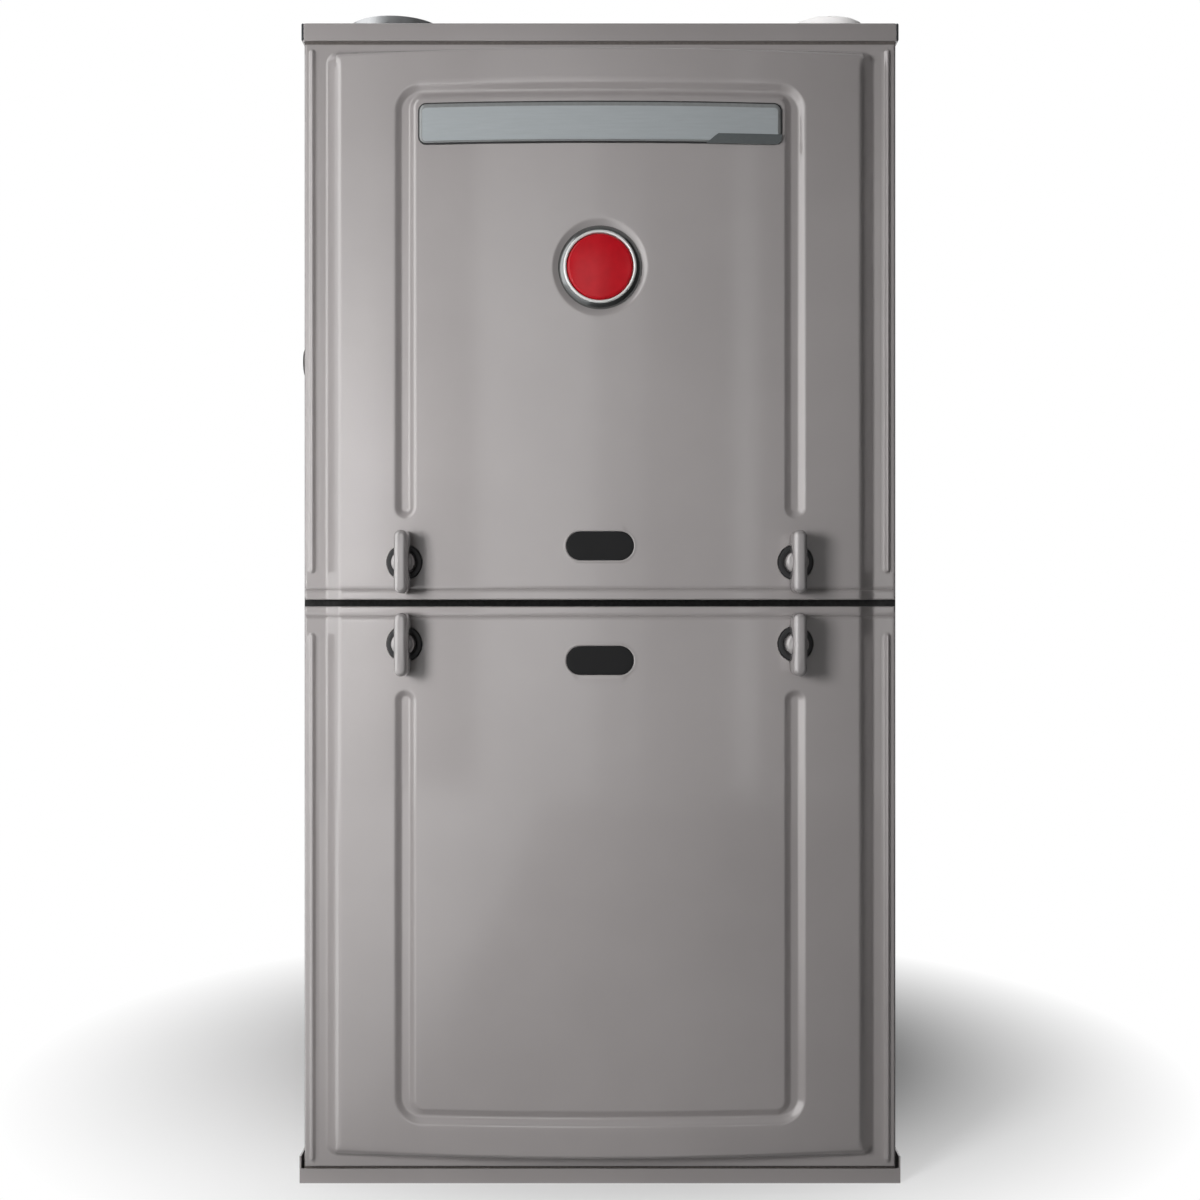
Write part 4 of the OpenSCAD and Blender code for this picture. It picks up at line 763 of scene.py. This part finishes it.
def make_plate_tab(centre, half_w, half_h):
    """The dark tab in the plate's lower right corner, with a sloped left end."""
    left, right = 78.2 * MM, half_w - 0.2 * MM
    bottom, top = -half_h - 0.2 * MM, -half_h + 7 * MM
    slope, corner = 8 * MM, 5 * MM
    steps, crowding = 30, 1.6
    columns = []
    for k in range(steps + 1):
        x = left + (right - left) * (1 - (1 - k / steps) ** crowding)
        rise = min((x - left) / slope, 1)
        cut = max(x - (right - corner), 0)
        lift = corner - math.sqrt(max(corner ** 2 - cut ** 2, 0))
        columns.append((x, bottom + lift, bottom + 0.2 * MM + (top - bottom) * rise))
    rings = []
    for proud in (0.1 * MM, PLATE_T + 0.3 * MM):
        over = [on_crown(x, centre + high_z, proud) for x, low_z, high_z in columns]
        under = [on_crown(x, centre + low_z, proud) for x, low_z, high_z in columns]
        rings.append(over + under[::-1])
    tab = Shape().rings(rings, capped=False)
    add_columns(tab, 0, len(columns))
    add_columns(tab, 2 * len(columns), len(columns))
    tab.piece("name_plate_tab", "plate_tab", "upper_door", "plate_silver")


FORWARD = (0, -1, 0)


def make_badge():
    """Two rings, whose profiles go out from the disc and forward in mm, and a domed disc."""
    low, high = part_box("badge_disc")
    centre = Vector(((low.x + high.x) / 2, FRONT_Y - CROWN + BADGE_SEAT, (low.z + high.z) / 2))
    disc = high.x
    for name, finish, replaced, profile in (
        ("badge_chrome_ring", "bright_trim", ["badge_ring"], [
            (0.1, -0.8), (2.4, -0.8), (2.4, 3.8), (2.2, 4.2), (1.6, 4.55), (0.9, 4.6),
            (0.3, 4.3), (0.1, 3.4),
        ]),
        ("badge_dark_ring", "dark_trim", [], [
            (2.5, -0.8), (6.3, -0.8), (6.3, 0.4), (5.3, 1.5), (4.0, 2.8), (3.2, 3.5), (2.5, 3.8),
        ]),
    ):
        ring = [(disc + out * MM, rise * MM) for out, rise in profile]
        Shape().turned(ring, centre, FORWARD, 128, closed=True).piece(
            name, finish, "upper_door", "bright_trim", replaced, sharp=60,
        )
    dome_rise, dome_foot = 1.5 * MM, 4.2 * MM
    dome = [(disc, 0.1 * MM), (disc, 2.4 * MM), (disc - 0.7 * MM, dome_foot - 0.5 * MM)]
    steps = 16
    for k in range(steps):
        share = 1 - k / (steps - 0.5)
        dome.append(((disc - 1 * MM) * share, dome_foot + dome_rise * (1 - share ** 2)))
    Shape().turned(dome, centre, FORWARD, 128).piece(
        "badge_domed_disc", "badge_red", "upper_door", "badge_red", ["badge_disc"], sharp=60,
    )


def stadium_ring(centre, length, width, y, steps=16, upright=False):
    """A stadium's outline as a ring of points in a plane of constant y."""
    half, radius = (length - width) / 2, width / 2
    points = []
    for side in (1, -1):
        for k in range(steps + 1):
            a = side * math.pi / 2 - side * math.pi * k / steps
            v = radius * math.sin(a)
            u = side * (half + radius * math.cos(a))
            points.append((v, u) if upright else (u, v))
    return [Vector((centre.x + u, y, centre.z + v)) for u, v in points]


def make_window(name, node, body):
    low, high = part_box(node)
    centre = (low + high) / 2
    length, width = WINDOW_SIZE
    seat = FRONT_Y - CROWN + WINDOW_SEAT_DEPTH
    # Insets from the outline, and places before the seat, in mm
    profile = [(0, 0), (0, -1.15), (0.15, -1.3), (0.4, -1.35), (2.6, -1.35)]
    Shape().rings([
        stadium_ring(centre, length - 2 * inset * MM, width - 2 * inset * MM, seat + depth * MM)
        for inset, depth in profile
    ]).piece(name, "window_glass", body, "black_plastic", [node], sharp=30)


# Latches ----------------------------------------------------------------------------------

def make_bezels(name, node, body):
    low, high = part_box(node)
    z = (low.z + high.z) / 2
    radius = (high.z - low.z) / 2
    bore = 8.7 * MM
    floor = FRONT_Y - crown_height(LATCH_X) + LATCH_SEAT_DEPTH
    profile = [
        (bore, 0), (radius, 0), (radius, 2.9 * MM), (radius - 0.3 * MM, 3.3 * MM),
        (radius - 0.9 * MM, 3.5 * MM), (bore + 1.2 * MM, 3.5 * MM), (bore + 0.4 * MM, 3.2 * MM),
        (bore, 2.6 * MM),
    ]
    shape = Shape()
    for side in (-1, 1):
        shape.turned(profile, (side * LATCH_X, floor, z), FORWARD, 72, closed=True)
    shape.piece(name, "black_plastic", body, "black_plastic", [node])


GRIP_W = 10.3 * MM
GRIP_SHIFT = 0.4 * MM
HUB_R = 8.5 * MM
HUB_PROUD = 40 * MM
SHAFT_R = 5 * MM


def make_knob(name, body):
    node = body + "_knob"
    low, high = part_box(node)
    centre = Vector(((low.x + high.x) / 2, 0, (low.z + high.z) / 2))
    length = high.z - low.z
    hub_front = FRONT_Y - HUB_PROUD
    hub_back = FRONT_Y - crown_height(LATCH_X) + LATCH_SEAT_DEPTH - 0.3 * MM
    shape = Shape()
    # Grip bar, a little wider at its foot: insets, and depths behind its front, in mm
    profile = [
        (0.5, 25.0), (0.0, 24.2), (0.1, 12.0), (0.3, 2.8), (0.6, 2.0), (2.0, 0.6), (2.6, 0.15),
        (3.2, 0.0),
    ]
    shape.rings([
        stadium_ring(centre + Vector((GRIP_SHIFT, 0, 0)), length - 2 * inset * MM,
                     GRIP_W - 2 * inset * MM, low.y + depth * MM, upright=True)
        for inset, depth in profile
    ])
    # Hub, with a chamfered shoulder, and the shaft behind it
    hub_h = hub_back - hub_front
    shape.turned([
        (HUB_R, 0), (HUB_R, hub_h - 3 * MM), (HUB_R - 0.4 * MM, hub_h - 1.6 * MM),
        (HUB_R - 1.2 * MM, hub_h - 0.6 * MM), (HUB_R - 2.4 * MM, hub_h),
    ], (centre.x, hub_back, centre.z), FORWARD, 56)
    shape.turned([
        (SHAFT_R - 0.6 * MM, 0), (SHAFT_R, 0.8 * MM), (SHAFT_R, high.y - hub_back),
    ], (centre.x, high.y, centre.z), FORWARD, 40)
    shape.piece(name, "latch_paint", body, "casing_paint", [node])


# Casing, cap and collars ------------------------------------------------------------------

def rectangle_ring(half_x, low_y, high_y, z, radius, steps=5):
    """A level rectangle with round corners as a ring of points."""
    points = []
    corners = [(half_x, high_y, 0), (-half_x, high_y, 1), (-half_x, low_y, 2), (half_x, low_y, 3)]
    for x, y, quarter in corners:
        cx, cy = x - math.copysign(radius, x), y - radius if y == high_y else y + radius
        for k in range(steps + 1):
            a = math.pi / 2 * (quarter + k / steps)
            points.append(Vector((cx + radius * math.cos(a), cy + radius * math.sin(a), z)))
    return points


def circle_ring(x, y, z, radius, steps=64):
    return [
        Vector((x + radius * math.cos(a), y + radius * math.sin(a), z))
        for a in (2 * math.pi * k / steps for k in range(steps))
    ]


def add_plate(shape, rings):
    """A flat face inside the first ring, with the other rings as holes."""
    base = len(shape.vertices)
    for ring in rings:
        shape.vertices.extend(ring)
    shape.faces.extend(tuple(base + k for k in face) for face in tessellate_polygon(rings))


CAP_CORNER_R = 2.5 * MM
CAP_HEM_RISE = 1.7 * MM
DUCT_INSET = 22 * MM
DUCT_FRONT, DUCT_BACK = -164.3 * MM, 333.5 * MM
INTAKE_HOLE_R, VENT_HOLE_R = 40.5 * MM, 30.4 * MM


def make_cap():
    low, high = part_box("top_cap")
    top, bottom = CAP_TOP, low.z + CAP_HEM_RISE
    half_x, half_y = high.x, high.y
    duct_half = SIDE_X - DUCT_INSET
    edge = 1.6 * MM
    shape = Shape()

    def holes(z):
        rings = [rectangle_ring(duct_half, DUCT_FRONT, DUCT_BACK, z, 1 * MM)]
        for collar, radius in (("intake_collar", INTAKE_HOLE_R), ("vent_pipe", VENT_HOLE_R)):
            lo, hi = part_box(collar)
            rings.append(circle_ring((lo.x + hi.x) / 2, (lo.y + hi.y) / 2, z, radius))
        return rings

    skirt = [
        rectangle_ring(half_x - inset, -half_y + inset, half_y - inset, z, CAP_CORNER_R)
        for inset, z in [
            (edge, top), (edge * 0.62, top - edge * 0.08), (edge * 0.29, top - edge * 0.29),
            (edge * 0.08, top - edge * 0.62), (0, top - edge), (0, bottom + 0.3 * MM),
            (0.3 * MM, bottom), (SHEET, bottom), (SHEET, top - SHEET),
        ]
    ]
    shape.rings(skirt, capped=False)
    add_plate(shape, [skirt[0]] + holes(top))
    add_plate(shape, [skirt[-1]] + holes(top - SHEET))
    for upper_ring, lower_ring in zip(holes(top), holes(top - SHEET)):
        shape.rings([upper_ring, lower_ring], capped=False)

    # Duct flanges round the supply opening
    flange = [
        rectangle_ring(duct_half + out, DUCT_FRONT - out, DUCT_BACK + out, z, 1 * MM + out)
        for out, z in [
            (0, top + 0.1 * MM), (SHEET, top + 0.1 * MM), (SHEET, high.z - 0.2 * MM),
            (SHEET - 0.2 * MM, high.z), (0.2 * MM, high.z), (0, high.z - 0.2 * MM),
        ]
    ]
    shape.rings(flange + flange[:1], capped=False)
    shape.piece("top_cap_skin", "casing_paint", "cabinet", "casing_paint", ["top_cap"])


def make_corner_shade_strips():
    """Dark strips of painted shade on the cap skirt's two rounded front corners."""
    low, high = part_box("top_cap")
    shape, proud = Shape(), 0.15 * MM
    width, depth = 1.9 * MM, 3 * MM
    for side in (-1, 1):
        ends = sorted((side * (high.x - width), side * (high.x + proud)))
        shape.block((ends[0], -high.y - proud, low.z + CAP_HEM_RISE + 0.2 * MM),
                    (ends[1], -high.y + depth, CAP_TOP - 0.4 * MM), 0.8 * MM)
    shape.piece("cap_corner_painted_shade", "motor_paint", "cabinet", "black_rubber")


# Thickness and reach of the dark strips of painted shade in the door gaps
GAP_SHADE_T = 0.35 * MM
GAP_SHADE_X = SIDE_X - 0.2 * MM


def make_gap_shade_strips():
    """Dark strips on the casing's front that paint the shade seen in the gaps over, between and
    under the doors.
    """
    for name, middle, finish in (
        ("top_gap_shade", upper.z(upper.length), "seal_felt"),
        ("split_gap_shade", (upper.start + lower.start) / 2, "seal_foam"),
        ("bottom_gap_shade", lower.z(lower.length), "seal_felt"),
    ):
        half = 5 * MM
        Shape().block(
            (-GAP_SHADE_X, FRONT_Y - GAP_SHADE_T, middle - half), (GAP_SHADE_X, FRONT_Y, middle + half), 0.1 * MM,
        ).piece(name, finish, "cabinet", "seal_foam")


UPWARD = (0, 0, 1)


def round_foot(node):
    """The middle of a round upright node's foot, its radius and its height."""
    low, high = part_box(node)
    centre = ((low.x + high.x) / 2, (low.y + high.y) / 2, low.z)
    return centre, (high.x - low.x) / 2, high.z - low.z


def make_intake_collar():
    centre, foot, height = round_foot("intake_collar")
    flange_w = 8 * MM
    outer = foot - flange_w
    inner = outer - SHEET
    Shape().turned([
        (inner, 0), (foot, 0), (foot, 0.9 * MM), (foot - 0.3 * MM, SHEET), (outer + 1 * MM, SHEET),
        (outer, 2.2 * MM), (outer, height * 0.45), (outer + 0.9 * MM, height * 0.5),
        (outer, height * 0.55), (outer, height - 0.3 * MM), (outer - 0.4 * MM, height),
        (inner + 0.3 * MM, height), (inner, height - 0.3 * MM),
    ], centre, UPWARD, 96, closed=True).piece(
        "intake_collar_sheet", "bare_steel", "cabinet", "bare_steel", ["intake_collar"],
    )


def make_vent_pipe():
    centre, foot, height = round_foot("vent_pipe")
    bead_w, wall = 6 * MM, 3.9 * MM
    outer = foot - bead_w
    inner = outer - wall
    seat = CAP_TOP - centre[2]
    Shape().turned([
        (inner, 0), (outer, 0), (outer, seat), (foot, seat), (foot, seat + 1.9 * MM),
        (foot - 0.6 * MM, seat + 2.5 * MM), (outer + 0.8 * MM, seat + 2.6 * MM),
        (outer, seat + 3.4 * MM), (outer, height - 0.8 * MM), (outer - 0.8 * MM, height),
        (inner + 0.6 * MM, height), (inner, height - 0.6 * MM),
    ], centre, UPWARD, 96, closed=True).piece(
        "vent_pipe_tube", "white_plastic", "cabinet", "white_plastic", ["vent_pipe"],
    )


def make_grommet():
    low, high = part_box("gas_grommet")
    centre = (-SIDE_X, (low.y + high.y) / 2, (low.z + high.z) / 2)
    outer, bore = 13 * MM, 10.8 * MM
    profile = [
        (bore, -3.2 * MM), (outer + 1.5 * MM, -3.2 * MM), (outer + 1.5 * MM, -1.25 * MM),
        (outer - 0.1 * MM, -1.2 * MM), (outer - 0.1 * MM, 0.1 * MM), (outer, 0.2 * MM),
        (outer, 10.1 * MM), (12.7 * MM, 10.8 * MM), (12.1 * MM, 11.4 * MM), (11.5 * MM, 11.9 * MM),
        (11 * MM, 12.2 * MM), (bore, 11.9 * MM),
    ]
    Shape().turned(profile, centre, (-1, 0, 0), 64, closed=True).piece(
        "side_grommet", "black_rubber", "cabinet", "black_rubber", ["gas_grommet"],
    )


# Carried CAD nodes ------------------------------------------------------------------------

def soften(node):
    """Rounds a carried node's sharp edges."""
    bevel = frame["nodes"][node].modifiers.new("edges", "BEVEL")
    bevel.width = 0.5 * MM
    bevel.segments = 2
    bevel.limit_method = "ANGLE"
    bevel.angle_limit = math.radians(40)


def dress_nodes():
    """Gives every CAD node the material of its slot."""
    slots = {part["node"]: part["material_slot"] for part in frame["record"]["subparts"]}
    for name, node in frame["nodes"].items():
        node.data.materials.clear()
        node.data.materials.append(finishes[slots[name]])


# Stage, lights, camera --------------------------------------------------------------------

def pale_rays(tree):
    """1 for the rays that show the background: camera, glossy and transmission rays."""
    path = tree.nodes.new("ShaderNodeLightPath")
    total = path.outputs["Is Camera Ray"]
    for ray in ("Is Glossy Ray", "Is Transmission Ray"):
        total = combined(tree, "ShaderNodeMath", "MAXIMUM", total, path.outputs[ray])["Value"]
    return total


WORLD_FILL = 0.095


def make_world():
    """White where the background shows, and a soft fill on everything else."""
    world = bpy.data.worlds.new("studio")
    bpy.context.scene.world = world
    world.use_nodes = True
    tree = world.node_tree
    background = tree.nodes["Background"]
    background.inputs["Color"].default_value = (1, 1, 1, 1)
    tree.links.new(scaled(tree, pale_rays(tree), 0, 1, WORLD_FILL, 1),
                   background.inputs["Strength"])


FLOOR_SIZE = 60
FLOOR_NEAR, FLOOR_FAR = 0.25, 0.55
FLOOR_BOUNCE, FLOOR_PALE = 0.28, 0.97


def make_floor():
    """A pale floor that keeps the shadow near the furnace and fades to the background."""
    material = new_material("floor")
    tree = material.node_tree
    shader = tree.nodes["Principled BSDF"]
    shader.inputs["Roughness"].default_value = 0.9
    tree.links.new(scaled(tree, pale_rays(tree), 0, 1, FLOOR_BOUNCE, FLOOR_PALE),
                   shader.inputs["Base Color"])
    place = tree.nodes.new("ShaderNodeTexCoord").outputs["Object"]
    distance = combined(tree, "ShaderNodeVectorMath", "LENGTH", place)["Value"]
    far = scaled(tree, distance, FLOOR_NEAR, FLOOR_FAR, 0, 1)
    fade = combined(tree, "ShaderNodeMath", "MULTIPLY", far, pale_rays(tree))["Value"]
    glow = tree.nodes.new("ShaderNodeEmission")
    mix = tree.nodes.new("ShaderNodeMixShader")
    tree.links.new(fade, mix.inputs[0])
    tree.links.new(shader.outputs[0], mix.inputs[1])
    tree.links.new(glow.outputs[0], mix.inputs[2])
    tree.links.new(mix.outputs[0], tree.nodes["Material Output"].inputs["Surface"])
    bpy.ops.mesh.primitive_plane_add(size=FLOOR_SIZE)
    floor = bpy.context.object
    floor.name = "floor"
    floor.data.materials.append(material)


def aim(thing, place, target):
    thing.location = place
    thing.rotation_euler = (Vector(target) - Vector(place)).to_track_quat("-Z", "Y").to_euler()


def add_light(name, place, target, size, power):
    """An area light that reflections don't show: the cards are there for them."""
    data = bpy.data.lights.new(name, "AREA")
    data.shape = "RECTANGLE"
    data.size, data.size_y = size
    data.energy = power
    light = add_object(name, data)
    aim(light, place, target)
    light.visible_camera = False
    light.visible_glossy = False
    return data


def ramp(tree, value, stops):
    """A grey colour ramp through (place, value) stops."""
    node = tree.nodes.new("ShaderNodeValToRGB")
    elements = node.color_ramp.elements
    while len(elements) < len(stops):
        elements.new(0.5)
    for element, (place, grey) in zip(elements, stops):
        element.position = place
        element.color = (grey, grey, grey, 1)
    tree.links.new(value, node.inputs[0])
    return node.outputs["Color"]


CARD_PEAK = 2.5


def add_card(name, place, turn, size, across, upward):
    """A graded card seen by reflections only: (metres, brightness) across, (share, factor) up."""
    material = new_material(name)
    tree = material.node_tree
    axes = tree.nodes.new("ShaderNodeSeparateXYZ")
    tree.links.new(tree.nodes.new("ShaderNodeTexCoord").outputs["Object"], axes.inputs[0])
    half_x, half_y = size[0] / 2, size[1] / 2
    along_x = ramp(tree, scaled(tree, axes.outputs["X"], -half_x, half_x, 0, 1), [
        (x / size[0] + 0.5, brightness / CARD_PEAK) for x, brightness in across
    ])
    along_y = ramp(tree, scaled(tree, axes.outputs["Y"], -half_y, half_y, 0, 1), upward)
    grade = combined(tree, "ShaderNodeVectorMath", "MULTIPLY", along_x, along_y)["Vector"]
    glow = tree.nodes.new("ShaderNodeEmission")
    glow.inputs["Strength"].default_value = CARD_PEAK
    tree.links.new(grade, glow.inputs["Color"])
    tree.links.new(glow.outputs[0], tree.nodes["Material Output"].inputs["Surface"])

    mesh = bpy.data.meshes.new(name)
    mesh.from_pydata([
        (-half_x, -half_y, 0), (half_x, -half_y, 0), (half_x, half_y, 0), (-half_x, half_y, 0),
    ], [], [(0, 1, 2, 3)])
    mesh.materials.append(material)
    card = add_object(name, mesh)
    card.location = place
    card.rotation_euler = turn
    card.visible_camera = False
    card.visible_diffuse = False
    card.visible_shadow = False
    card.visible_transmission = False


# Cards round the furnace: bright at its left, dark at its right, with soft upright bands.
# Each is a list of (metres across, brightness) or (share of its height or depth, factor).
CARD_HEIGHT, CARD_GAP = 4, 0.01
FRONT_CARD_AWAY = 2.4
SIDE_CARD_X, SIDE_CARD_Y = 2.3, 1.3
LEVEL_CARD_Y, LEVEL_CARD_DEPTH = -0.7, 4.1
EVEN = [(0, 1), (1, 1)]
FRONT_CARD = [
    (-4.5, 1.2), (-1.6, 1.25), (-1.1, 1.1), (-0.9, 0.4), (-0.57, 0.2), (-0.55, 0.98),
    (-0.02, 0.93), (0.0, 0.5), (0.19, 0.55), (0.21, 0.25), (0.6, 0.25), (0.615, 0.85),
    (0.71, 0.85), (0.73, 0.2), (1.3, 0.2), (2.2, 0.15), (4.5, 0.08),
]
FRONT_CARD_HEIGHTS = [(0, 0.8), (0.06, 1.0), (0.28, 1.0), (0.36, 0.6), (0.42, 0.25), (0.6, 0.15)]
FLOOR_CARD = [
    (-4.5, 1.6), (-0.6, 1.4), (-0.3, 1.1), (-0.2, 0.35), (0, 0.25), (0.6, 0.1), (4.5, 0.05),
]
LEFT_CARD = [(-4, 1.7), (-1.4, 1.7), (-1.15, 1.2), (-0.8, 0.45), (-0.3, 0.1), (4, 0.05)]
FLOOR_CARD_REACH = [(0, 0.8), (0.45, 0.6), (0.54, 0.4), (0.578, 0.3), (0.588, 1), (1, 1)]


def make_cards():
    upright = math.pi / 2
    middle = CARD_HEIGHT / 2 + CARD_GAP
    front_size, side_size, level_size = (9, CARD_HEIGHT), (8, CARD_HEIGHT), (9, LEVEL_CARD_DEPTH)
    add_card("front_card", (0, FRONT_Y - FRONT_CARD_AWAY, middle), (upright, 0, 0), front_size,
             FRONT_CARD, FRONT_CARD_HEIGHTS)
    add_card("floor_card", (0, LEVEL_CARD_Y, 0.5 * MM), (0, 0, 0), level_size,
             FLOOR_CARD, FLOOR_CARD_REACH)
    add_card("right_card", (SIDE_CARD_X, SIDE_CARD_Y, middle), (upright, 0, -upright), side_size,
             [(-4, 0.05), (4, 0.05)], EVEN)
    add_card("left_card", (-SIDE_CARD_X, SIDE_CARD_Y, middle), (upright, 0, upright), side_size,
             LEFT_CARD, EVEN)
    add_card("ceiling_card", (0, LEVEL_CARD_Y, CARD_HEIGHT + 2 * CARD_GAP), (0, 0, 0), level_size,
             [(-4.5, 0.4), (4.5, 0.22)], EVEN)


def make_lights():
    add_light("side_key", (-0.76, FRONT_Y - 1.21, 0.58), (0, FRONT_Y, 0.45), (0.4, 0.4), 17.5)
    add_light("front_fill", (-0.5, -3.4, 1.5), (0, FRONT_Y, 0.45), (2.0, 1.6), 4)
    add_light("top", (0, 0.2, 3.0), (0, 0, 0.5), (2.0, 2.0), 9)
    vent = add_light("vent_spot", (0.16, -0.62, 1.22), (0.18, -0.28, 0.9), (0.03, 0.03), 0.004)
    vent.spread = math.radians(12)


# Assembly ---------------------------------------------------------------------------------

bpy.context.scene.view_settings.view_transform = "Standard"
make_camera()
make_world()
make_lights()
make_cards()
make_floor()
dress_nodes()
make_doors()
make_plate()
make_badge()
make_window("upper_sight_window", "upper_window", "upper_door")
make_window("lower_sight_window", "lower_window", "lower_door")
make_bezels("upper_bezels", "upper_latch_bezels", "upper_door")
make_bezels("lower_bezels", "lower_latch_bezels", "lower_door")
for place in ("upper_left", "upper_right", "lower_left", "lower_right"):
    make_knob(place + "_grip", place + "_latch")
make_cap()
make_corner_shade_strips()
make_gap_shade_strips()
make_intake_collar()
make_vent_pipe()
make_grommet()
for node in ("cabinet_wrap", "base_pan", "blower_deck", "vestibule_panel", "burner_box"):
    soften(node)
